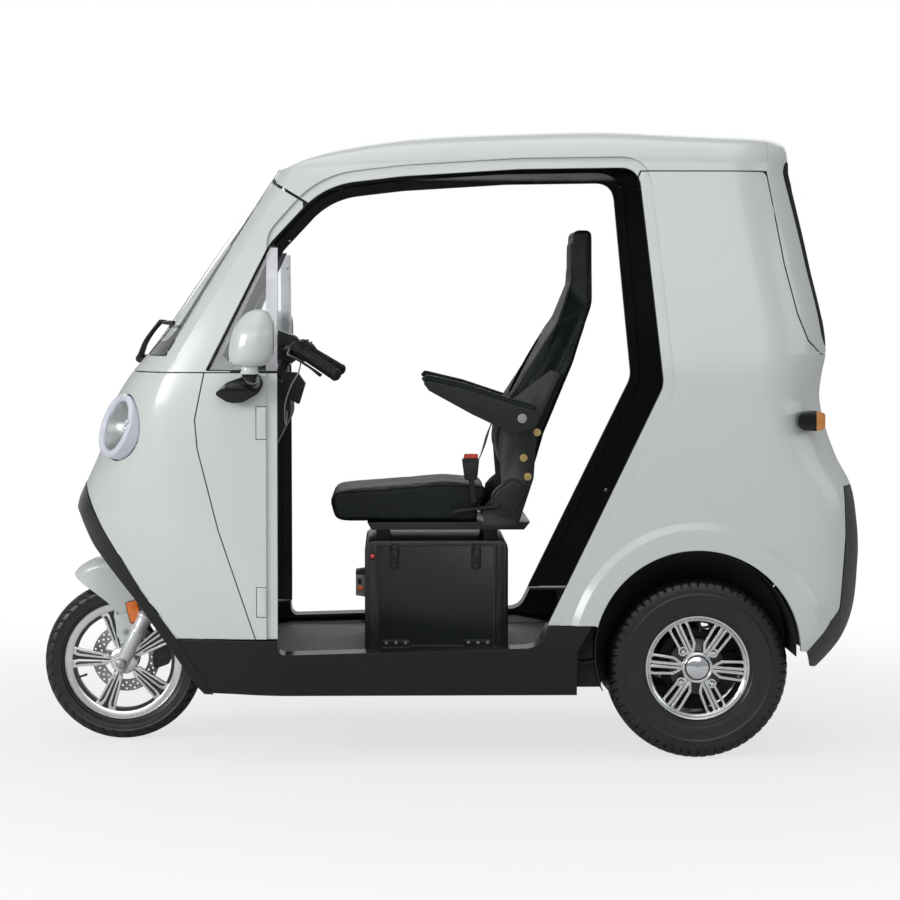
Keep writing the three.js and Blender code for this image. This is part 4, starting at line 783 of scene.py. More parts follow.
FRONT_AXLE, REAR_AXLE_X, REAR_AXLE_Y, REAR_AXLE_Z = (-945, 0, 232), 704, 362, 257
alloy = finish_of("turned_alloy", (0.76, 0.77, 0.78), 0.22, metal=1.0, tone=0.9, cloud=9.0, dirt=0.03,
    top=0.6, edge=0.0012)
enamel = finish_of("black_enamel", (0.009, 0.010, 0.011), 0.3, tone=0.8, dirt=0.05, top=0.5, edge=0.0008,
    Coat_Weight=0.4)
chrome = finish_of("chrome", (0.74, 0.75, 0.77), 0.1, metal=1.0, tone=0.95, dirt=0.1, top=0.5, edge=0.0006)
rubber = finish_of("tyre_rubber", (0.009, 0.0105, 0.0115), 0.34, tone=0.75, cloud=12.0, dirt=0.03, top=0.5,
    pebble=(800.0, 0.4, 0.00012), Specular_IOR_Level=0.5)
disc_steel = finish_of("disc_steel", (0.42, 0.42, 0.43), 0.34, metal=1.0, tone=0.7, cloud=30.0, dirt=0.2,
    top=0.5, edge=0.0005)


def together(name, parts):
    """One piece from several; the several are used up."""
    points, faces, count = [], [], 0
    for part in parts:
        points.append(points_of(part))
        faces += [[count + i for i in face] for face in faces_of(part)]
        count += len(part.data.vertices)
        bpy.data.objects.remove(part)
    return piece(np.concatenate(points), faces, 28, name)


def bevelled(made, width, steps=2, angle=30.0):
    """Rounds a piece's edges that are sharper than an angle, to a width in millimetres."""
    step = made.modifiers.new("bevel", "BEVEL")
    step.width, step.segments, step.limit_method = width / 1000, steps, "ANGLE"
    step.angle_limit, step.use_clamp_overlap = math.radians(angle), True
    return baked(made, 40)


def plate(corners, low, high, width, steps=2, fine=12):
    """A side-view outline pushed across from y low to y high, with its edges rounded."""
    return bevelled(prism(corners, low, high, fine), width, steps)


def set_round(made, count, first, centre):
    """Copies of a piece that points along X, set round the Y axis in even steps from a first angle in
    degrees, and moved to a centre, all as one piece. The piece is used up."""
    turn = np.radians(first + np.arange(count) * 360 / count)[:, None, None]
    p = points_of(made)[None]
    x = p[..., :1] * np.cos(turn) - p[..., 2:] * np.sin(turn)
    z = p[..., :1] * np.sin(turn) + p[..., 2:] * np.cos(turn)
    points = np.concatenate([x, p[..., 1:2] + 0 * x, z], 2).reshape(-1, 3) + np.array(centre)
    size = p.shape[1]
    faces = [[k * size + i for i in face] for k in range(count) for face in faces_of(made)]
    bpy.data.objects.remove(made)
    return piece(points, faces, 28)


def flipped(corners):
    """An outline on the other side of its own centre line."""
    return [(c[0], -c[1], *c[2:]) for c in corners[::-1]]


def pulse(phase, width, edge):
    """1 inside a band of that width round each whole number and 0 between bands, with soft edges."""
    off = np.abs((phase + 0.5) % 1 - 0.5)
    t = np.clip((width / 2 + edge - off) / edge, 0, 1)
    return t * t * (3 - 2 * t)


TURNS, GROOVE = 600, 3.2  # points round a tyre, and how deep its tread is cut


def tyre(centre, radius, rim, width, bead, lugs, slant, ribs, deep):
    """A tyre as a grid of turn and place along its section. The section is a smooth line through the bead,
    wall, shoulder and crown; the tread is that surface sunk by slanted grooves between lugs, in half steps
    from side to side and down to the share deep of the wall, and by rings at ribs, as shares of the half
    width."""
    h, wall = width / 2, (rim + radius) / 2
    right = [(rim - 1, bead - 9), (rim + 1, bead), (rim + 9, h * 0.86), (wall, h),
        (wall + (radius - wall) * 0.5, h * 0.985), (radius - 12, h * 0.9), (radius - 4.5, h * 0.72),
        (radius - 1, h * 0.4)]
    knots = np.array([(r, -y) for r, y in right] + [(radius, 0)] + right[::-1], float)
    run = np.r_[0, np.cumsum(np.linalg.norm(np.diff(knots, axis=0), axis=1))]
    at = np.linspace(0, run[-1], 92)
    r, y = through(at, run, knots[:, 0]), through(at, run, knots[:, 1])
    height = np.clip((r - wall) / (radius - wall), 0, 1)
    lines = (wall + 8, rim + 10, rim + 18)
    y = y * (1 + 0.026 * sum(pulse((r - at) / 400, 0.007, 0.004) for at in lines))
    turn = (np.arange(TURNS) * 2 * math.pi / TURNS)[:, None]
    share = np.abs(y) / h
    phase = lugs * turn / (2 * math.pi) + slant * share + 0.5 * (y > 0)
    side_cut = pulse(phase, 0.14, 0.05) * np.clip((share - 0.3) / 0.08, 0, 1)
    side_cut *= np.clip((height - deep) / 0.05, 0, 1)
    slit = pulse(phase * 2 + 0.5, 0.1, 0.09) * np.clip((share - 0.12) / 0.1, 0, 1)
    slit *= np.clip((height - 0.9) / 0.05, 0, 1)
    ring = sum(pulse((share + 0.035 * np.sin(turn * lugs)) / 2 - k / 2, 0.035, 0.02) for k in ribs)
    sunk = np.maximum(np.maximum(side_cut, 0.5 * slit), ring * (height > 0.9)) * GROOVE
    inner = np.array([(rim + 2, bead - 12), (wall, h * 0.86), (radius - 16, h * 0.62)])
    inner = np.concatenate([inner, (inner * (1, -1))[::-1]])
    all_r = np.concatenate([r - sunk, np.broadcast_to(inner[:, 0], (TURNS, 6))], 1)
    cut_y = y - 0.8 * sunk * np.sign(y) * (share > 0.75)
    all_y = np.concatenate([cut_y, np.broadcast_to(inner[:, 1], (TURNS, 6))], 1)
    x, z = centre[0] + all_r * np.cos(turn), centre[2] + all_r * np.sin(turn)
    grid = np.stack([x, centre[1] + all_y, z], 2)
    return piece(grid, closed_faces(TURNS, grid.shape[1])[:, ::-1], 34)


def bar_pair(outer, pocket, y0, y1, floor_y):
    """A pair of cast bars with a pocket in each face, and the black floors of the pockets."""
    bars, floors = [], []
    for line, hole in ((outer, pocket), (flipped(outer), flipped(pocket))):
        made = prism(line, y0, y1, fine=5)
        if floor_y is None:
            made = cut(made, prism(hole, y0 - 5, y1 + 5, fine=5))
        else:
            made = cut(made, prism(hole, y0 - 5, floor_y, fine=5))
            floors.append(prism([(x * 0.999 + 0.05, z) for x, z, *_ in hole], floor_y - 0.4, floor_y + 2,
                fine=2))
        bars.append(bevelled(made, 0.9, 2, 40))
    return together("bars", bars), together("floors", floors) if floors else None


x, y, z = FRONT_AXLE
lip_face = turned([(175, -38), (175.5, -42), (173, -43.6), (169.5, -43), (168.5, -41.6), (153, -40.4),
    (150, -39), (149.5, -31), (168, -30)], x, z, 128)
bars, floors = bar_pair([(36, 1.5, 2), (46, 15, 6), (132, 27, 8), (156, 36, 4), (156, 12, 4), (134, 5, 4)],
    [(60, 7.5, 2), (64, 11, 2), (128, 19.5, 4), (140, 24, 3), (140, 16, 3), (128, 11.5, 3)], -38, -18, -33)
front_bars = set_round(bars, 5, 176, FRONT_AXLE)
front_floors = set_round(floors, 5, 176, FRONT_AXLE)
hub = turned([(0.5, -37), (30, -37), (40, -32), (42, -18), (34, -8), (30, 36), (0.5, 36)], x, z, 64)
finished(together("front_rim_face", [lip_face, front_bars, hub]), alloy, "front_rim",
    body="front_wheel")
barrel = turned([(168, -29.6), (149.5, -30.6), (149.5, -36), (140, -35), (140, -22), (146, 26), (158, 34),
    (166, 42), (175, 41), (174, 36), (160, 26), (158, -26)], x, z, 128)
webs = set_round(prism([(40, -5), (150, -9), (150, 9), (40, 5)], -24, -12), 5, 176, FRONT_AXLE)
finished(together("front_rim_barrel", [barrel, webs]), enamel, body="front_wheel")
pocket_grey = finish_of("pocket_grey", (0.05, 0.052, 0.055), 0.4, tone=0.85, cloud=20.0, dirt=0.05, top=0.5)
finished(front_floors, pocket_grey, name="front_rim_pockets", body="front_wheel")
VALVE = [(0.3, 0), (5, 0), (4, 6), (3.2, 8), (3.2, 22), (4, 23), (4, 32), (3, 34), (0.3, 34)]
finished(aimed(VALVE, (x - 138, y - 22, z - 52), (0.80, -0.35, 0.3), 20), enamel, name="front_valve",
    body="front_wheel")
finished(tyre(FRONT_AXLE, 232, 166, 108, 37, 40, 1.8, (0.0,), 0.25), rubber, "front_tyre",
    "front_tyre_tread", body="front_wheel")

HOLES, HOLE_ROWS = 24, ((94, 0), (85, 7.5), (76, 0))  # holes in a row, and each row's radius and first angle
holes = together("holes", [turned(rect(0.2, 3.1, 30, 60), 0, 0, 10)])
points = points_of(holes)
drill = []
for r, shift in HOLE_ROWS:
    drill.append(set_round(piece(points + (r, 0, 0), faces_of(holes)), HOLES, shift, (0, 0, 0)))
discard(holes)
ring = cut(turned(rect(66, 101, 40.5, 44), 0, 0, 96), together("drills", drill))
arms = set_round(plate([(32, -9, 3), (32, 9, 3), (70, 6, 2), (70, -6, 2)], 40.6, 44.2, 0.6), 5, 20, (0, 0, 0))
collar = turned(rect(31, 42, 38, 47), 0, 0, 48)
made = set_round(together("disc", [ring, arms, collar]), 1, 0, FRONT_AXLE)
finished(made, disc_steel, "brake_disc", "brake_disc_drilled", body="front_wheel")

for side, word in SIDES:
    centre = (REAR_AXLE_X, side * REAR_AXLE_Y, REAR_AXLE_Z)
    body = word + "_rear_wheel"

    def outward(profile):
        """A profile drawn with its outer face at negative y, turned for this side and moved to the wheel."""
        return [(r, -side * y + centre[1]) for r, y in profile]

    lip_face = turned(outward([(149, -50), (149.5, -54), (146, -56), (141, -55), (139, -52), (134, -49.5),
        (131, -46), (131, -40), (142, -39)]), centre[0], centre[2], 128)
    y0, y1 = limits(side, 31, 47)
    loops, _ = bar_pair([(34, 0.8, 2), (50, 15, 4), (66, 25.5, 8), (126, 29.5, 10), (142, 24, 5),
        (142, 6, 4), (126, 1.4, 4), (56, 1.2, 3)], [(52, 9, 2), (70, 18.5, 4), (123, 22.5, 6), (133, 18, 4),
        (130, 9.5, 4), (66, 8.5, 2)], y0, y1, None)
    loops = set_round(loops, 6, -5 if side < 0 else 185, centre)
    boss = turned(outward([(35, -34), (35, -49), (38, -51.5), (43, -50.5), (46, -46), (46, -34)]), centre[0],
        centre[2], 64)
    finished(together(word + "_rear_rim_face", [lip_face, loops, boss]), alloy,
        word + "_rear_rim", body=body)
    barrel = turned(outward([(142, -39), (131, -40), (127, 20), (136, 44), (142, 54), (149, 54), (149, 50),
        (138, 40), (136, -36)]), centre[0], centre[2], 128)
    dish = turned(outward([(0.5, -30), (40, -30), (52, -26), (78, -22), (84, -14), (84, 6), (80, 12),
        (0.5, 12)]), centre[0], centre[2], 96)
    finished(together(word + "_rear_rim_barrel", [barrel, dish]), enamel, body=body)
    cap = turned(outward([(0.5, -57), (24, -56), (31, -53), (33, -49), (33, -30), (0.5, -30)]), centre[0],
        centre[2], 96)
    nut = turned(outward([(0.3, -53), (6, -53), (9.8, -50), (9.8, -26), (0.3, -26)]), 61, 0, 6, 20)
    stud = turned(outward(rect(0.3, 4.6, -56, -50)), 61, 0, 20)
    seat_ring = turned(outward([(9, -46), (13, -46), (14, -43), (9, -43)]), 61, 0, 28)
    nuts = set_round(together("nut", [nut, stud, seat_ring]), 4, 42, (centre[0], 0, centre[2]))
    finished(together(word + "_rear_hub_cap", [cap, nuts]), chrome, body=body)
    finished(aimed(VALVE, (centre[0] + 8, side * (REAR_AXLE_Y + 26), centre[2] + 128), (0, side * 0.6, -0.8),
        20), enamel, name=word + "_rear_valve", body=body)
    finished(tyre(centre, 257, 140, 136, 48, 62, 0.5, (0.0, 0.42), 0.56), rubber,
        word + "_rear_tyre", word + "_rear_tyre_tread", body=body)

# ---------------------------------------------------------------- chassis and rear axle
# Welded tube under thick black paint: two side rails with struts up to the head tube, and a live axle with
# its motor, on springs. The edges of the tube are rounded, as drawn tube is.

frame_paint = finish_of("frame_paint", (0.008, 0.009, 0.0095), 0.42, tone=0.75, cloud=8.0, dirt=0.12,
    top=0.55, rubbed=0.08, pebble=(260.0, 0.4, 0.0002), Specular_IOR_Level=0.35)


def softened(node_name, width, angle=32.0):
    """A copy of a rigid CAD piece with its flat faces made whole and its edges rounded to a width in mm."""
    mesh = bmesh.new()
    mesh.from_mesh(frame["nodes"][node_name].data)
    bmesh.ops.remove_doubles(mesh, verts=mesh.verts, dist=2e-5)
    bmesh.ops.dissolve_limit(mesh, angle_limit=math.radians(0.7), verts=mesh.verts, edges=mesh.edges)
    made = put_in(node_name, bpy.data.meshes.new(node_name))
    mesh.to_mesh(made.data)
    mesh.free()
    return bevelled(made, width, 2, angle)


finished(softened("chassis_frame", 3.0), frame_paint, "chassis_frame", "chassis_tubes")
finished(softened("rear_axle", 2.5), frame_paint, "rear_axle", "rear_axle_castings")

# ---------------------------------------------------------------- floor, front wall and rear tub
# A pressed floor under a ribbed rubber mat, a moulded black wall with the column's housing in front, and a
# moulded tub behind the seat. The mat's ribs run in chevrons across the cabin.

FLOOR_TOP, MAT_HALF = 283.6, 428
finished(softened("floor_pan", 1.0), frame_paint, "floor_pan", "floor_pressing")
finished(softened("dash_panel", 3.0), black_plastic, "dash_panel", "front_wall")
finished(softened("rear_tub", 3.0), black_plastic, "rear_tub", "rear_tub_moulding")
mat_rubber, tree = material("ribbed_mat")
place = node(tree, "SeparateXYZ", _0=place_on(tree))
fold = math_of(tree, "ABSOLUTE", math_of(tree, "SUBTRACT", math_of(tree, "FRACT", math_of(tree, "MULTIPLY",
    place.outputs["Y"], 9.0)), 0.5))
run = math_of(tree, "ADD", math_of(tree, "MULTIPLY", place.outputs["X"], 44.0), math_of(tree, "MULTIPLY",
    fold, 3.6))
ribs = node(tree, "MapRange", {"interpolation_type": "SMOOTHSTEP"}, From_Min=0.12, From_Max=0.3,
    Value=math_of(tree, "ABSOLUTE", math_of(tree, "SUBTRACT", math_of(tree, "FRACT", run), 0.5))).outputs[0]
# The grooves between the ribs are coloured darker than the rib tops: painted shade in the grooves.
shade = mixed_colour(tree, ribs, (0.05, 0.051, 0.052), (0.115, 0.118, 0.118))
shade = mixed_colour(tree, use(tree, dust, "Mask", Amount=0.55, Top=0.7), shade, (0.34, 0.32, 0.29))
bump = node(tree, "Bump", Height=ribs, Distance=0.0016, Strength=0.9)
skin = node(tree, "BsdfPrincipled", Base_Color=shade, Roughness=0.62, Normal=bump.outputs[0])
node(tree, "OutputMaterial", Surface=skin.outputs[0])
mat_shape = rect(-632, 352, FLOOR_TOP + 0.2, FLOOR_TOP + 3)
mat = cut(prism(mat_shape, -MAT_HALF, MAT_HALF, fine=2), block(-236, 182, -228, 228, 270, 300))
finished(mat, mat_rubber, name="floor_mat")

# ---------------------------------------------------------------- front fork and fender
# Two telescopic legs in silver paint on a forged clamp, with seals, dust lips and an axle under domed caps;
# a brake caliper astride the disc; a moulded fender in body colour on a bracket, with a reflector each side.

AXIS_FOOT, AXIS_WAY, AHEAD_WAY = np.array([-918.2, 0, 218.6]), np.array([0.44776, 0, 0.89415]), np.array(
    [-0.89415, 0, 0.44776])
LEG_Y, LEG_AHEAD = 84, 30
fork_silver = finish_of("fork_silver", (0.60, 0.61, 0.62), 0.28, metal=0.3, tone=0.96, cloud=4.0,
    edge=0.0008, Coat_Weight=0.5)
zinc = finish_of("zinc_plate", (0.5, 0.5, 0.48), 0.34, metal=1.0, tone=0.8, cloud=30.0, dirt=0.2, top=0.6,
    edge=0.0006)
cast_grey = finish_of("cast_caliper", (0.075, 0.077, 0.08), 0.46, tone=0.8, dirt=0.4, top=0.5,
    pebble=(420.0, 0.5, 0.0003), edge=0.001)
# The amber reflectors get a faint emission, a painted glow, though they are not lamps.
reflector_with_painted_glow = finish_of("reflector_amber", (0.75, 0.17, 0.015), 0.16, tone=0.8, cloud=60.0, edge=0.0006,
    Emission_Color=(0.9, 0.2, 0.01, 1), Emission_Strength=0.08, Coat_Weight=0.8)


def on_axis(t, y=0.0, ahead=0.0):
    """The point at a distance up the steering axis, and to the side and ahead of it."""
    return AXIS_FOOT + AXIS_WAY * t + np.array([0, y, 0]) + AHEAD_WAY * ahead


LEG = [(0.2, -27), (13, -27), (19, -23), (21, -16), (21, 96), (22.5, 98), (22.5, 108), (20.5, 112),
    (20.5, 146), (23, 148), (23, 156), (19, 161), (15.2, 163), (15.2, 292), (0.2, 292)]
CAP = [(0.2, 0), (15, 0), (15, 8), (13, 12), (8, 15), (0.2, 16)]
BOLT_HEAD = [(0.2, 0), (1, 0), (1, 0.55), (0.86, 0.75), (0.2, 0.75)]


def bolt(place, axis, radius, sides=6):
    """A bolt head on a washer, its height three quarters of its radius."""
    washer = aimed(rect(0.3, radius * 1.45, -0.5, 1.0), place, axis, 28)
    head = aimed([(max(r * radius, 0.3), h * radius + 1) for r, h in BOLT_HEAD], place, axis, sides,
        smooth=20)
    return together("bolt", [washer, head])


legs = [aimed(LEG, on_axis(0, side * LEG_Y, LEG_AHEAD), AXIS_WAY, 64) for side in (-1, 1)]
finished(together("fork_legs", legs), fork_silver, "front_fork", body="steering")
axle = [aimed(CAP, on_axis(0, side * (LEG_Y + 20), LEG_AHEAD), (0, side, 0), 48) for side in (-1, 1)]
axle += [bolt(on_axis(0, side * (LEG_Y + 34), LEG_AHEAD), (0, side, 0), 7) for side in (-1, 1)]
axle += [aimed(rect(0.3, 8, -LEG_Y, LEG_Y), on_axis(0, 0, LEG_AHEAD), (0, 1, 0), 32)]
finished(together("front_axle_caps", axle), zinc, body="steering")


def tilted(corners, t0, t1, fine=6):
    """A plate square to the steering axis: corners (behind the axis, across, radius) between two heights."""
    made = prism(corners, 0, 1, fine)
    p = points_of(made)
    points = AXIS_FOOT + p[:, :1] * -AHEAD_WAY + p[:, 2:] * np.array([0, 1, 0]) + (t0
        + (t1 - t0) * p[:, 1:2]) * AXIS_WAY
    faces = faces_of(made)
    bpy.data.objects.remove(made)
    return welded(piece(points, faces))


CLAMP = [(-54, -62, 8), (-46, -106, 10), (-14, -106, 10), (-8, -74, 8), (14, -44, 12), (22, 0), (14, 44, 12),
    (-8, 74, 8), (-14, 106, 10), (-46, 106, 10), (-54, 62, 8)]
clamp = bevelled(tilted(CLAMP, 266, 284), 3.0, 3)
stem = aimed(rect(0.3, 16, 270, 836), AXIS_FOOT, AXIS_WAY, 40)
finished(together("fork_clamp_and_stem", [clamp, stem]), frame_paint, body="steering")
CALIPER = [(-862, 196, 8), (-818, 212, 10), (-801, 258, 10), (-818, 288, 8), (-850, 280, 6), (-868, 236, 8)]
caliper = cut(prism(CALIPER, 34, 66), turned(rect(0.3, 106, 38.5, 45.5), -945, 232, 64),
    turned(rect(0.3, 60, 0, 90), -945, 232, 64))
caliper = [bevelled(caliper, 2.0, 2), bolt((-830, 66, 240), (0, 1, 0), 6), bolt((-842, 66, 264), (0, 1, 0),
    6), aimed([(0.3, 66), (14, 66), (14, 70), (12, 72), (0.3, 72)], (-828, 0, 252), (0, 1, 0), 32),
    plate([(-900, 262, 6), (-858, 226, 6), (-838, 262, 6), (-880, 330, 6)], 60, 71.5, 1.5)]
finished(together("brake_caliper", caliper), cast_grey, body="steering")

FENDER = np.array([  # along, crown, lower edge, half width
    (-1089, 490, 486, 16), (-1080, 502, 474, 34), (-1062, 516, 460, 48), (-1027, 534, 436, 60),
    (-990, 541, 408, 64), (-964, 540, 382, 64.4), (-950, 538, 368, 64.4), (-925, 530, 345, 64),
    (-900, 520, 330, 64), (-880, 507, 350, 64), (-862, 494, 372, 64), (-820, 458, 410, 62)], float)


def fender_skin(inset, drop):
    """The fender as a grid of place along it and turn over it: each section is a superellipse arch between
    its two lower edges, over straight sides."""
    x = np.linspace(FENDER[0, 0] + inset * 2, FENDER[-1, 0] + drop, 60)
    crown, foot, half = [np.interp(x, FENDER[:, 0], FENDER[:, k]) for k in (1, 2, 3)]
    crown, half = through(x, FENDER[:, 0], FENDER[:, 1]) - inset, through(x, FENDER[:, 0],
        FENDER[:, 3]) - inset
    foot = np.minimum(foot, crown - 3)
    rise = np.minimum(34, (crown - foot) * 0.8)
    turn = np.linspace(0, math.pi, 41)
    across = -np.sign(np.cos(turn)) * np.abs(np.cos(turn)) ** (2 / 2.3)
    height = np.sin(turn) ** (2 / 2.3)
    y = np.concatenate([-half[:, None], half[:, None] * across, half[:, None]], 1)
    z = np.concatenate([(foot - drop)[:, None], (crown - rise)[:, None] + rise[:, None] * height,
        (foot - drop)[:, None]], 1)
    rings = np.stack([x[:, None] + 0 * y, y, z], 2)
    return welded(piece(rings, rings_to_faces(60, 43)), 50)


fender = cut(fender_skin(0, 0), fender_skin(3.2, 30))
for side in (-1, 1):
    fender = cut(fender, aimed(rect(0.3, 21.6, -60, 320), on_axis(0, side * LEG_Y, LEG_AHEAD), AXIS_WAY, 64))
bracket = [plate([(-966, 372, 8), (-962, 306, 16), (-940, 291, 14), (-914, 289, 20), (-884, 340, 12),
    (-884, 380)], *limits(side, 67, 69.4), 0.8) for side in (-1, 1)]
finished(together("front_fender_moulding", [fender, *bracket]), pearl, "front_fender",
    body="steering")
finished(together("fender_bolts", [bolt((-934, side * 69.5, 320), (0, side, 0), 7) for side in (-1, 1)]),
    zinc, body="steering")
REFLECTOR = [(-934, 405, 3), (-903, 415, 3), (-888, 358, 3), (-920, 347, 3)]
reflectors, backs = [], []
for side in (-1, 1):
    reflectors.append(plate(REFLECTOR, *limits(side, 71, 75), 1.2, fine=5))
    backs.append(plate(grown(REFLECTOR, 2.4), *limits(side, 69.2, 72.4), 0.8, fine=5))
finished(together("fender_reflectors", reflectors), reflector_with_painted_glow, body="steering")
finished(together("reflector_backs", backs), black_plastic, body="steering")

# ---------------------------------------------------------------- handlebar
# A bent steel tube under black enamel, with ribbed rubber grips, moulded switch boxes, cast levers, a small
# display on a bracket and a black junction box under it. One pale cable loops from the left switch box.

GRIP = np.array([(-408, 245, 1140), (-312, 352, 1080)], float)


def smooth_line(path, fine=6):
    """Points along a smooth line through the points of a path, and how far along it each one is."""
    path = np.array(path, float)
    knots = np.r_[0, np.cumsum(np.linalg.norm(np.diff(path, axis=0), axis=1))]
    at = np.unique(np.r_[np.linspace(0, knots[-1], fine * (len(path) - 1) + 1), knots])
    return np.stack([through(at, knots, path[:, k]) for k in range(path.shape[1])], 1), at, knots


def swept(path, radius, sides=24, fine=6, flat=1.0, up=(0.0, 0.0, 1.0), square=2.0):
    """A tube along a smooth line through points; radius is one number or one for each point, flat squeezes
    the tube towards the up direction, and its section is a superellipse whose power is square."""
    line, at, knots = smooth_line(path, fine)
    thick = np.interp(at, knots, np.broadcast_to(np.asarray(radius, float), (len(path),)))
    way = np.gradient(line, axis=0)
    way /= np.linalg.norm(way, axis=1)[:, None]
    side = np.cross(way, up)
    side /= np.linalg.norm(side, axis=1)[:, None]
    top = np.cross(side, way)
    turn = (np.arange(sides) * 2 * math.pi / sides)[None, :, None]
    over, high = (np.sign(w) * np.abs(w) ** (2 / square) for w in (np.cos(turn), np.sin(turn)))
    rings = line[:, None] + thick[:, None, None] * (side[:, None] * over + top[:, None] * high * flat)
    return welded(piece(rings, rings_to_faces(len(line), sides)), 40)


def grip_at(side, t):
    """A point along a grip, from its inner end at 0 to its outer end at 1."""
    return (GRIP[0] + (GRIP[1] - GRIP[0]) * t) * (1, side, 1)


bars, grips, boxes, levers = [], [], [], []
for side in (-1, 1):
    way = grip_at(side, 1) - grip_at(side, 0)
    length = np.linalg.norm(way)
    bars.append(swept([(-462, side * 2, 1146), (-461, side * 60, 1147), (-456, side * 120, 1150),
        (-432, side * 190, 1149), grip_at(side, -0.2), grip_at(side, 0.4), grip_at(side, 1)], 11))
    at = np.linspace(0.1, 0.96, 150)
    ridge = 15.6 + 1.5 * pulse(at * length / 6.4, 0.55, 0.2) * (at < 0.9)
    profile = [(0.3, 0.06 * length), (21, 0.06 * length), (21.5, 0.085 * length), (17, 0.095 * length),
        *zip(ridge, at * length), (17.4, 0.965 * length), (17.8, 1.01 * length), (15.5, 1.035 * length),
        (6, 1.04 * length), (5, 1.02 * length), (0.3, 1.02 * length)]
    grips.append(aimed(profile, grip_at(side, 0), way, 48, smooth=50))
    body = aimed([(0.3, -0.27 * length), (19, -0.27 * length), (24, -0.22 * length), (24.5, 0.02 * length),
        (22, 0.055 * length), (0.3, 0.055 * length)], grip_at(side, 0), way, 40)
    boxes.append(body)
    root = grip_at(side, -0.12)
    boxes.append(swept([root + (4, 0, 0), root + (-12, 0, 2), root + (-27, 0, 6)], (10, 10, 7), sides=16))
    for t, size in ((-0.16, 4.5), (-0.05, 3.5)):
        boxes.append(aimed([(0.3, 21), (size, 21), (size, 27), (size * 0.8, 28.5), (0.3, 28.5)],
            grip_at(side, t), (0.5, 0.2 * side, 0.8), 20))
    levers.append(swept([root + (-20, 0, 6), grip_at(side, 0.1) + (-50, side * 8, 2),
        grip_at(side, 0.4) + (-54, side * 16, 8), grip_at(side, 0.75) + (-46, side * 24, 4),
        grip_at(side, 0.97) + (-40, side * 27, -2)], (6.5, 6, 5, 4.6, 6.5), sides=20, flat=0.75))
finished(together("handlebar_tube", bars), frame_paint, "handlebar", body="steering")
grip_rubber = finish_of("grip_rubber", (0.014, 0.014, 0.015), 0.5, tone=0.75, pebble=(900.0, 0.4, 0.0001))
finished(together("grips", grips), grip_rubber, body="steering")
finished(together("brake_levers", levers), enamel, body="steering")
boxes.append(plate([(-500, 1166, 4), (-430, 1148, 4), (-424, 1172, 6), (-438, 1187, 6), (-494, 1206, 10)],
    -62, 62, 3.0, 3, fine=5))
boxes.append(plate([(-496, 1120, 5), (-440, 1110, 5), (-430, 1150, 5), (-494, 1168, 5)], -40, 40, 3.0, 3,
    fine=4))
boxes.append(plate([(-467, 1087, 4), (-422, 1084, 4), (-401, 1053, 4), (-419, 993, 4), (-433, 1001, 3),
    (-462, 1021, 4)], -256, -206, 2.5, 3, fine=4))
boxes.append(aimed([(0.3, 840), (18, 840), (18, 1000), (24, 1004), (24, 1028), (18, 1034), (0.3, 1034)],
    AXIS_FOOT, AXIS_WAY, 40))
finished(together("switch_boxes", boxes), black_plastic, body="steering")
screen_glass = finish_of("display_glass", (0.01, 0.012, 0.014), 0.06, Coat_Weight=1.0)
screen = prism([(-488, 1203.2), (-444, 1188.4), (-443.6, 1189.6), (-487.6, 1204.4)], -50, 50, fine=2)
finished(bevelled(screen, 0.4), screen_glass, name="prism.003", body="steering")
CABLE = [(-414, -240, 1114), (-420, -262, 1086), (-440, -264, 1050), (-458, -252, 1000), (-462, -226, 952),
    (-460, -190, 934), (-458, -154, 962), (-456, -124, 1040), (-454, -112, 1100)]
cable = swept(CABLE, 2.2, 12, 10)
finished(cable, finish_of("cable_sleeve", (0.42, 0.42, 0.40), 0.5), name="pale_cable", body="steering")
line = smooth_line(CABLE, 10)[0] / 1000

# ---------------------------------------------------------------- battery box
# A folded steel box under the seat, painted satin black, with a hinged door held by two toggle latches. A
# circuit breaker and a red lamp are fixed to its front.

BOX_HALF = 225
satin_black = finish_of("satin_black", (0.008, 0.011, 0.0118), 0.34, tone=0.85, cloud=5.0, dirt=0.05,
    top=0.6, edge=0.0012, pebble=(300.0, 0.3, 0.0001), Specular_IOR_Level=0.45)
bolt_black = finish_of("black_bolts", (0.02, 0.021, 0.022), 0.3, metal=0.6, tone=0.8, edge=0.0005)
finished(softened("battery_box", 2.5), satin_black, "battery_box", "battery_box_folded")
door = plate(rect(-195, 144, 292.4, 594, 5), -230, -225.5, 1.2, fine=4)
rim = cut(prism(rect(-195, 144, 292.4, 594, 6), -231.4, -229.5, fine=4), prism(rect(-187, 136, 300, 586, 6),
    -240, -220, fine=4))
finished(together("battery_door_panel", [door, bevelled(rim, 0.8)]), satin_black,
    "battery_door", body="battery_box_door")
fittings, screws = [], []
for x0, x1 in ((-184, -103), (52, 133)):
    leaf = prism(rect(x0, x1, 292, 316, 2, 5), -233.4, -231, fine=4)
    fittings.append(bevelled(leaf, 0.6))
    for k in range(5):
        low, high = x0 + (x1 - x0) * k / 5 + 0.6, x0 + (x1 - x0) * (k + 1) / 5 - 0.6
        fittings.append(aimed([(0.3, 0), (5, 0), (5.6, 1.2), (5.6, high - low - 1.2), (5, high - low),
            (0.3, high - low)], (low, -233, 292), (1, 0, 0), 20))
    screws += [bolt((x0 + (x1 - x0) * t, -233.4, 307), (0, -1, 0), 3.2, 20) for t in (0.16, 0.5, 0.84)]
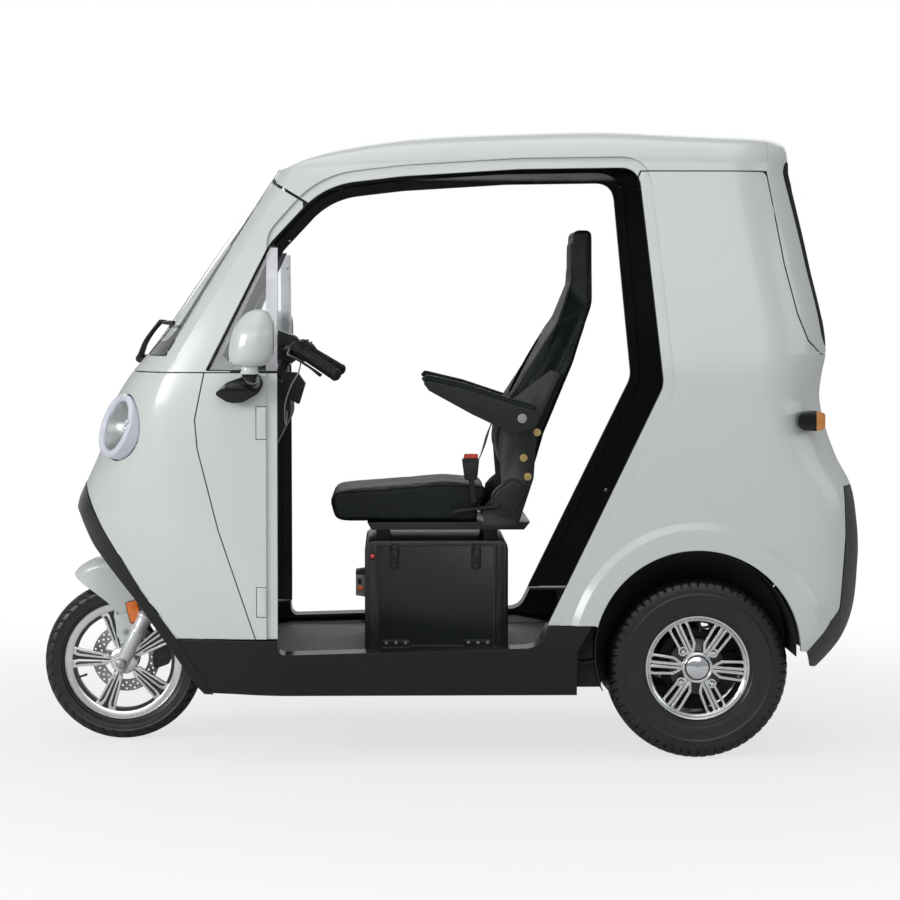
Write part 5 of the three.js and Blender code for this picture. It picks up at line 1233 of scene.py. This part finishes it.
for x0, x1 in ((-163, -135), (72, 101)):
    middle = (x0 + x1) / 2
    fittings.append(plate(rect(x0, x1, 522, 588, 5, 3), -232, -229, 0.6, fine=4))
    fittings.append(plate([(x0 + 3, 528, 5), (x1 - 3, 528, 5), (x1 - 5, 572, 4), (x0 + 5, 572, 4)], -238,
        -232.5, 1.4, fine=4))
    fittings.append(plate(rect(x0 + 6, x1 - 6, 521, 532, 4, 3), -239, -236, 0.8, fine=4))
    fittings.append(swept([(x0 + 4, -236, 556), (x0 + 4, -237, 582), (x0 + 7, -235, 590),
        (x1 - 7, -235, 590), (x1 - 4, -237, 582), (x1 - 4, -236, 556)], 1.7, sides=12))
    screws.append(bolt((middle, -232, 524), (0, -1, 0), 2.6, 16))
finished(together("door_hinges_and_latches", fittings), bolt_black, body="battery_box_door")
finished(together("door_screws", screws), zinc, body="battery_box_door")
keepers = [plate(rect(m - 9, m + 9, 589, 599, 2, 3), -233, -230.4, 0.6, fine=3) for m in (-149, 86.5)]
strips = [bevelled(block(x, x + 3, -BOX_HALF - 3, -BOX_HALF + 0.5, 290, 592), 1.0) for x in (-204, -222, 153,
    169)]
finished(together("box_edge_strips", keepers + strips), finish_of("folded_edges", (0.05, 0.055, 0.058), 0.25,
    metal=0.5, tone=0.8, edge=0.001))
breaker_grey = finish_of("breaker_grey", (0.20, 0.215, 0.21), 0.42, tone=0.9, dirt=0.1, edge=0.001)
breaker = [plate([(-259.4, 440, 2), (-232, 435.6, 2), (-232, 500, 2), (-259.4, 500, 2)], -190.6, -119.4,
    1.0), plate(rect(-256, -240, 455, 494, 2), -192, -190, 0.6)]
finished(together("breaker_case", breaker), breaker_grey)
cover = plate([(-259.6, 500.4, 2), (-232, 500.4, 2), (-232, 514.6, 3), (-259.6, 511, 3)], -191, -119, 1.0)
finished(together("breaker_cover", [cover, plate(rect(-253, -243, 472, 490, 1), -193.2, -192, 0.4)]),
    black_plastic)
orange = finish_of("orange_switch", (0.72, 0.12, 0.02), 0.3, tone=0.8, cloud=40.0, edge=0.0008)
finished(plate(rect(-254, -238, 454, 467, 2), -196, -190.2, 1.0), orange, name="breaker_switch")
red = finish_of("red_lens", (0.62, 0.035, 0.012), 0.14, tone=0.75, cloud=60.0, Coat_Weight=0.8)
finished(aimed([(0.3, 0), (8, 0), (8, 3), (6.4, 6.5), (3, 8), (0.3, 8.3)], (-211, -225, 556), (0, -1, 0),
    32), red, name="box_lamp")
finished(aimed([(8.2, -1), (10.5, -1), (10.5, 2.4), (9.4, 3.6), (8.2, 3.6)], (-211, -225, 556), (0, -1, 0),
    36), black_plastic, name="box_lamp_ring")

# ---------------------------------------------------------------- driver's seat
# A bucket seat in black hide over moulded foam on a pressed steel base. The covers are sewn with a piped
# seam along the cushion's top edges and the back's front edges; foam fills them out tightly.

leather = finish_of("black_hide", (0.0075, 0.0105, 0.0112), 0.5, tone=0.8, cloud=7.0, dirt=0.01, top=0.9,
    pebble=(620.0, 0.6, 0.0004), rubbed=0.03, Specular_IOR_Level=0.2)
piping_hide = finish_of("piping", (0.008, 0.0105, 0.011), 0.4, tone=0.85, pebble=(900.0, 0.5, 0.0002),
    Specular_IOR_Level=0.3)
brass = finish_of("yellow_zinc", (0.62, 0.48, 0.20), 0.3, metal=1.0, tone=0.8, cloud=40.0, edge=0.0005)


def pad(corners, half, draw, width=None, dish=0.0):
    """The form of a pad: a side-view outline carried across the seat to half its width and drawn in towards
    its middle at both ends as a superellipse is. width(z) narrows it with height, and dish sinks its front
    face between the bolsters, by the cosine of the place across."""
    line = outline(corners, 10)
    line = line[::way_round(line)]
    centre = line.mean(0)
    share = np.sin(np.linspace(1, -1, 44) * math.pi / 2)[:, None]
    shrink = draw * (1 - (1 - np.abs(share) ** 5) ** 0.2)
    out = line - centre
    reach = 1 - shrink / np.linalg.norm(out, axis=1)[None]
    x, z = centre[0] + out[:, 0] * reach, centre[1] + out[:, 1] * reach
    y = half * share * (width(line[:, 1])[None] if width else 1)
    front = np.clip(-out[:, 0] / np.abs(out[:, 0]).max(), 0, 1)
    top = np.clip(out[:, 1] / np.abs(out[:, 1]).max(), 0, 1)
    sunk = dish * np.cos(np.clip(np.abs(share) / 0.72, 0, 1) * math.pi / 2) ** 2
    x, z = x + sunk * front * (width is not None), z - sunk * top * (width is None)
    rings = np.stack([x, y + 0 * x, z], 2)
    return welded(piece(rings, rings_to_faces(len(share), len(line))), 60)


def stuffed(made, voxel, cap, pressure=4.0, floor_z=None):
    """Fills a form out as foam fills its cover: an even mesh, then cloth under pressure for 20 frames, with no
    point moved further than cap, and flat where it rests at floor_z."""
    step = made.modifiers.new("even", "REMESH")
    step.mode, step.voxel_size = "VOXEL", voxel / 1000
    baked(made, 180)
    start = points_of(made)
    cloth = made.modifiers.new("cover", "CLOTH")
    cloth.settings.use_pressure, cloth.settings.uniform_pressure_force = True, pressure
    cloth.settings.effector_weights.gravity = 0
    cloth.point_cache.frame_start, cloth.point_cache.frame_end = 1, 20
    for frame_number in range(1, 21):
        bpy.context.scene.frame_set(frame_number)
    baked(made, 180)
    way = points_of(made) - start
    far = np.linalg.norm(way, axis=1)[:, None]
    points = start + way * np.minimum(1, cap / np.maximum(far, 1e-6))
    if floor_z is not None:
        points[:, 2] = np.maximum(points[:, 2], floor_z)
    moved(made, points)
    bpy.context.scene.frame_set(1)
    finer = made.modifiers.new("finer", "SUBSURF")
    finer.levels = finer.render_levels = 1
    return baked(made, 180)


CUSHION = [(-339, 716, 26), (-324, 660, 24), (98, 657), (99, 700), (134, 753, 24), (0, 764, 60),
    (-200, 749, 60), (-324, 738, 34)]
cushion = stuffed(pad(CUSHION, 214, 16, dish=12), 7, 6, 4.0, 653.6)
finished(cushion, leather, "seat_cushion", "seat_cushion_cover")
BACK = [(168, 796, 22), (147, 870, 60), (155, 940, 80), (187, 1014, 80), (327, 1232, 80), (370, 1348, 60),
    (371, 1497, 16), (424, 1500, 16), (424, 1286, 80), (366, 1116, 60), (279, 904, 60), (243, 787, 22)]


def back_width(z):
    """The share of the back's full width at a height: whole up to the shoulders, half at the head."""
    return np.interp(z, (1150, 1230, 1290, 1330, 1400, 1500), (1.0, 0.95, 0.74, 0.575, 0.51, 0.49))


back = stuffed(pad(BACK, 211, 14, back_width, 16), 7, 5, 4.0)
finished(back, leather, "seat_back", "seat_back_cover")


def laid_on(made, line, lift):
    """The points of a line moved to the nearest place on a piece, and then off it by lift millimetres."""
    near = [made.closest_point_on_mesh([c / 1000 for c in point])[1:3] for point in line]
    return [np.array(place) * 1000 + np.array(normal) * lift for place, normal in near]


piping = []
for side in (-1, 1):
    edge = np.array([(-332, 704), (-334, 722), (-322, 739), (-200, 752), (-60, 763), (60, 763), (128, 754)],
        float)
    line = smooth_line([(x, side * 203, z) for x, z in edge])[0]
    piping.append(swept(laid_on(cushion, line, 0.6), 2.2, sides=12, fine=1))
    edge = np.array([(160, 800), (145, 872), (152, 940), (184, 1015), (254, 1124), (325, 1234), (352, 1296),
        (366, 1350), (368, 1480), (376, 1498), (398, 1502)], float)
    line = smooth_line([(x, side * 201 * float(back_width(np.array(z))), z) for x, z in edge])[0]
    piping.append(swept(laid_on(back, line, 0.6), 2.2, sides=12, fine=1))
finished(together("seat_piping", piping), piping_hide)
finished(softened("seat_frame", 2.5, 30), satin_black, "seat_frame", "seat_frame_pressings")
bolts, covers = [], []
for side in (-1, 1):
    bolts += [bolt((x, side * 229.4, z), (0, side, 0), 7.5) for x, z in ((223, 839), (235, 785))]
    bolts.append(bolt((262, side * 229.4, 912), (0, side, 0), 7.5))
    edge = prism([(116, 728, 38), (196, 790, 38), (241, 740, 38), (166, 658, 38)], *limits(side, 246, 250),
        fine=14)
    inner = prism([(124, 728, 34), (195, 781, 34), (232, 740, 34), (167, 668, 34)], *limits(side, 240, 260),
        fine=14)
    covers.append(bevelled(cut(edge, inner), 1.2))
    dome = plate([(130, 728, 30), (195, 774, 30), (226, 740, 30), (168, 674, 30)], *limits(side, 246, 248.5),
        2.0, 3, fine=14)
    covers.append(dome)
    covers.append(swept([(20, side * 246, 682), (40, side * 247, 688), (90, side * 247, 694),
        (152, side * 246, 702)], (8, 8.5, 7, 7), sides=20, flat=0.7, square=3))
finished(together("recliner_covers", covers), black_plastic)
finished(together("seat_bolts", bolts), brass)

ARM_X, ARM_Z = 215, 955  # the armrests turn about this line
arm_top = [(-70, 1062, 8), (-58, 1079, 9), (60, 1051, 60), (180, 1011, 40), (258, 988, 12), (256, 976, 8),
    (178, 998, 40), (58, 1037, 60), (-54, 1062, 6)]
arm_shape = [(-66, 1056, 6), (-52, 1062), (58, 1038, 60), (178, 999, 40), (261, 975, 14), (261, 930, 30),
    (196, 914, 30), (128, 940, 40), (70, 968, 30), (-50, 1034, 10)]
for side, word in SIDES:
    arm = prism(arm_shape, *limits(side, 249, 303), fine=14)
    arm = cut(arm, aimed(rect(0.3, 10, 230, 330), (ARM_X, 0, ARM_Z), (0, side, 0), 40))
    arm = together(word + "_armrest_arm", [bevelled(arm, 5, 4)])
    finished(arm, black_plastic, word + "_armrest", body=word + "_arm")
    cover = stuffed(pad(arm_top, 28, 5), 3.5, 1.5)
    moved(cover, points_of(cover) + (0, side * 276, 0))
    finished(cover, leather, name=word + "_armrest_pad", body=word + "_arm")
    finished(together(word + "_armrest_bolt", [bolt((ARM_X, side * 303, ARM_Z), (0, side, 0), 9)]), zinc,
        body=word + "_arm")

# ---------------------------------------------------------------- driver's belt
# Woven webbing clipped into its buckle, which stands on a plated stalk beside the cushion. The button on top
# of the buckle is red.

BELT_LINE = [(334, 190, 1290), (308, 172, 1218), (236, 110, 1108), (170, 30, 1000), (134, -70, 926),
    (108, -170, 860), (84, -244, 812)]
webbing = finish_of("black_webbing", (0.010, 0.0115, 0.012), 0.6, tone=0.8, pebble=(1600.0, 0.7, 0.0003))
line = laid_on(back, smooth_line(BELT_LINE[:4])[0], 2.0) + [np.array(p, float) for p in BELT_LINE[4:]]
finished(swept(line, 23, 40, 4, 0.055, (-1, 0, 0.4), 7), webbing, "seat_belt",
    "belt_webbing")
buckle = [plate([(45, 838, 5), (95, 838, 5), (89, 777, 8), (53, 777, 8)], -262, -238, 2.5, 3, fine=6),
    plate(rect(49, 91, 840, 834, 2), -263, -237, 0.8, fine=4),
    plate([(52, 826, 3), (88, 826, 3), (84, 790, 3), (56, 790, 3)], -263, -261, 0.8, fine=4)]
finished(together("belt_buckle", buckle), black_plastic)
finished(plate([(50, 839, 2), (92, 839, 2), (91, 852, 4), (52, 852, 4)], -259, -241, 1.5, 3, fine=6), red,
    name="belt_button")
stalk = swept([(80, -250.5, 712), (77, -251, 740), (72, -251, 782)], (8, 8, 8), 24, 6, 0.3, (0, 1, 0), 4)
finished(stalk, bolt_black, name="buckle_stalk")

# ---------------------------------------------------------------- passenger bench
# A foam bench for two over the rear tub and a straight back against the tail, both covered in black hide
# with sewn channels.

bench = pad([(546, 606, 6), (972, 606, 6), (974, 694, 30), (562, 708, 40), (540, 662, 30)], 420, 22)
bench = stuffed(bench, 10, 7, 4.0, 602.5)
finished(bench, leather, "bench_cushion", "bench_cushion_cover")
rest = pad([(986, 646, 10), (1016, 646, 10), (998, 1113, 14), (936, 1113, 26)], 332, 16)
rest = stuffed(rest, 10, 5, 4.0)
finished(rest, leather, "bench_back", "bench_back_cover")
seams = [swept([(558, y, 713), (640, y, 714.5), (760, y, 711), (900, y, 705), (962, y, 699)], 2.2, sides=10)
    for y in (-210, 0, 210)]
finished(together("bench_seams", seams), piping_hide)

# ---------------------------------------------------------------- headlamps
# A pressed reflector behind a clear domed lens, held by a pale moulded ring that is clipped into the nose,
# with a small adjusting tab on the ring's outer side.

lamp_ring = finish_of("pale_lamp_ring", (0.58, 0.60, 0.68), 0.2, tone=0.95, edge=0.001, Coat_Weight=0.8)
bright_bowl = finish_of("bright_bowl", (0.36, 0.37, 0.38), 0.3, metal=1.0, tone=0.6, cloud=18.0)
RING = [(69, 3), (71, 9), (75, 13), (82, 15), (89, 13), (92, 8), (92, -26), (86, -28), (74, -10)]
BOWL = [(0.3, -46), (14, -45), (34, -38), (52, -26), (66, -8), (70, 2), (74, 2), (74, -10), (56, -32),
    (38, -44), (16, -50), (0.3, -50)]
LENS = [(0.3, 19), (28, 17.8), (50, 14.6), (64, 10.4), (71, 6.5), (71, 3.5), (62, 7.6), (49, 11.8), (28, 15),
    (0.3, 16.2)]
BULB = [(0.3, -45), (13, -45), (13, -36), (11, -22), (7, -14), (0.3, -11)]
for flip, word in ((1, "left"), (-1, "right")):
    centre, axis = LAMP * (1, flip, 1), LAMP_AXIS * (1, flip, 1)
    outer = np.cross(axis, (0, 0, 1))
    outer *= np.sign(outer[0]) / np.linalg.norm(outer)
    finished(aimed(LENS, centre, axis), clear, word + "_headlamp", word + "_lamp_lens")
    ring = [aimed(RING, centre, axis, 128), aimed([(0.3, 8), (6, 8), (6, 16.5), (4, 18), (0.3, 18)],
        centre + outer * 83 + (0, 0, 12), axis, 20)]
    finished(together(word + "_lamp_ring", ring), lamp_ring)
    finished(aimed(BOWL, centre, axis, 128), bright_bowl, name=word + "_lamp_bowl")
    finished(aimed(BULB, centre, axis, 48), chrome, name=word + "_lamp_shield")

# ---------------------------------------------------------------- mirrors
# An egg-shaped head in body colour with a flat glass behind, on a round neck, a black collar and arm, and a
# leaf-shaped foot that is screwed to the front panel.

MIRROR_Y = 682
EGG = np.array([(0.3, 0), (32, 1), (44, 5), (52, 12), (59, 26), (61.5, 42), (62, 66), (57.5, 98), (44, 127),
    (26, 146), (0.3, 153)])
mirror_glass = finish_of("mirror_glass", (0.86, 0.87, 0.88), 0.03, metal=1.0, tone=0.99)


def egg(side, inset):
    """The mirror's head: an egg turned about an upright axis, wider across, leaning back with height."""
    line = smooth_line(EGG, 6)[0]
    radius, high = np.maximum(line[:, :1] - inset, 0.2), np.clip(line[:, 1:], inset, EGG[-1, 1] - inset)
    turn = np.linspace(0, 2 * math.pi, 72, endpoint=False)
    rings = np.stack([-528 - 8 + 0.16 * high + radius * np.cos(turn),
        side * MIRROR_Y + 1.12 * radius * np.sin(turn), 1111 + high + 0 * turn], 2)
    return welded(piece(rings, rings_to_faces(len(line), 72)), 40)


for side, word in SIDES:
    y = side * MIRROR_Y
    low, high = limits(side, 500, 800)
    hollow = within(egg(side, 4), block(-484, -400, low, high, 1100, 1300))
    shell_of = cut(egg(side, 0), block(-472, -400, low, high, 1100, 1300), hollow)
    neck = aimed([(0.3, -22), (25, -22), (25.5, -19), (22.5, -13), (21.5, 3), (0.3, 3)], (-536, y, 1112),
        (0, 0, 1), 64)
    finished(together(word + "_mirror_head", [shell_of, neck]), pearl, word + "_mirror")
    pane = within(egg(side, 5), block(-484, -480, low, high, 1100, 1300))
    finished(pane, mirror_glass, name=word + "_mirror_glass")
    collar = aimed([(0.3, -30), (17, -30), (21, -24), (21, -10), (18, -6), (0.3, -6)], (-536, y, 1106),
        (0, 0, 1), 48)
    arm = swept([(-536, y, 1086), (-535, side * 664, 1079), (-532, side * 600, 1071),
        (-538, side * 545, 1054)], (17, 19, 19, 24), sides=32, flat=0.85)
    leaf = prism([(-640, 1032, 8), (-606, 1064, 40), (-562, 1080, 30), (-520, 1090, 20), (-504, 1060, 24),
        (-520, 1034, 30), (-560, 1010, 50), (-600, 1007, 50)], *limits(side, 480, 600), fine=16)
    turn = np.linspace(0, 2 * math.pi, 64, endpoint=False)
    turn, rise = np.meshgrid(turn, np.linspace(-1.5707, 1.5707, 40))
    ball = np.stack([-570 + 94 * np.cos(rise) * np.cos(turn), side * 512 + 56 * np.cos(rise) * np.sin(turn),
        1044 + 64 * np.sin(rise)], 2)
    leaf = within(leaf, welded(piece(ball, rings_to_faces(40, 64)), 40))
    leaf = cut(leaf, form[0])
    rib = swept([(-634, side * 534, 1036), (-600, side * 553, 1050), (-566, side * 566, 1060),
        (-534, side * 566, 1066)], (2.5, 4, 5, 5), sides=16)
    finished(together(word + "_mirror_foot", [collar, arm, bevelled(leaf, 1.6), rib]), gloss_black)

# ---------------------------------------------------------------- wiper and rear side lamps
# A pivot under a rubber cap, a bent arm and a rubber blade that stands off the glass at its carrier; and at
# each rear corner a dark wedge with an amber end.

along, half_width = plan_line(np.array([1226.0]), -12, 2)
reach = np.array([-358, -300, -230, -160, -90, -30, 18], float)
blade = [(np.interp(abs(y), half_width[0, :28], along[0, :28]), y, 1226) for y in reach]
holder = [(x - 6, y, z + 2) for x, y, z in blade[1:6]]
wiper = [aimed([(0.3, -6), (20, -6), (20, 8), (17, 16), (12, 26), (0.3, 28)], (-868, -20, 1111),
    (-28, 0, 12), 40), aimed([(0.3, -15), (11, -15), (12, -12), (12, 12), (11, 15), (0.3, 15)],
    (-893, -20, 1121), (0, 1, 0), 32), swept([(-893, -20, 1121), (-885, -44, 1140), (-868, -90, 1172),
    (-842, -138, 1204), (-815, -186, 1231)], (11, 9, 8, 7, 8), sides=24, flat=0.6, square=3),
    swept(blade, 5.5, sides=16, flat=1.1), swept(holder, (3, 6, 8, 6, 3), sides=16, flat=0.6, square=3)]
wiper += [aimed(rect(0.3, 7, -9, 9), holder[2], (0, 1, 0), 24)]
finished(together("wiper_arm_and_blade", wiper), black_plastic, "wiper")
amber = finish_of("amber_lens", (0.55, 0.22, 0.05), 0.12, tone=0.75, cloud=50.0, Coat_Weight=0.9)
for side, word in SIDES:
    wedge = kept(prism([(962, 934, 22), (962, 980, 22), (1012, 985, 10), (1037, 978, 10), (1037, 934, 10),
        (1012, 929, 10)], *limits(side, 470, 548), fine=10))
    ends = within(wedge, block(1013, 1050, *limits(side, 400, 600), 900, 1000))
    finished(bevelled(cut(ends, form[0]), 2.0, 3), amber, (), word + "_side_lamp_lens")
    base = within(wedge, block(950, 1012.4, *limits(side, 400, 600), 900, 1000))
    finished(bevelled(cut(base, form[0]), 2.5, 3), gloss_black, word + "_rear_lamp",
        word + "_side_lamp")

# ---------------------------------------------------------------- hinge covers and lining screws
# Two flat covers on each front panel close the holes for a door's hinges, each in a thin dark joint. Pale
# domed screws hold the lining inside each doorway.

cover_layer = kept(cut(form[-2], form[0]))
joint_layer = kept(cut(form[-1], form[0]))
for side, word in SIDES:
    for level, (low, high) in (("upper", (908, 996)), ("lower", (417, 498))):
        joint = within(block(-529, -499.5, *limits(side, 300), low - 1.6, high + 1.6), joint_layer)
        finished(joint, border, name=f"{word}_{level}_hinge_joint")
        cover = within(block(-527, -500, *limits(side, 300), low, high), cover_layer)
        finished(bevelled(cover, 0.6), pearl, name=f"{word}_{level}_hinge_cover")
    screws = [aimed([(0.3, -2), (r, -2), (r, 1), (r * 0.7, 0.5 * r), (0.3, 0.6 * r)], (x, side * y, z),
        (0, -side, 0), 24) for x, y, z, r in ((-470, 421, 1477, 4), (-478, 434, 1392, 4), (521, 507, 696, 8))]
    finished(together(word + "_lining_screws", screws), zinc)
discard(*[o for o in bpy.context.scene.objects if "kept" in o])

# ---------------------------------------------------------------- size
low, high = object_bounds()
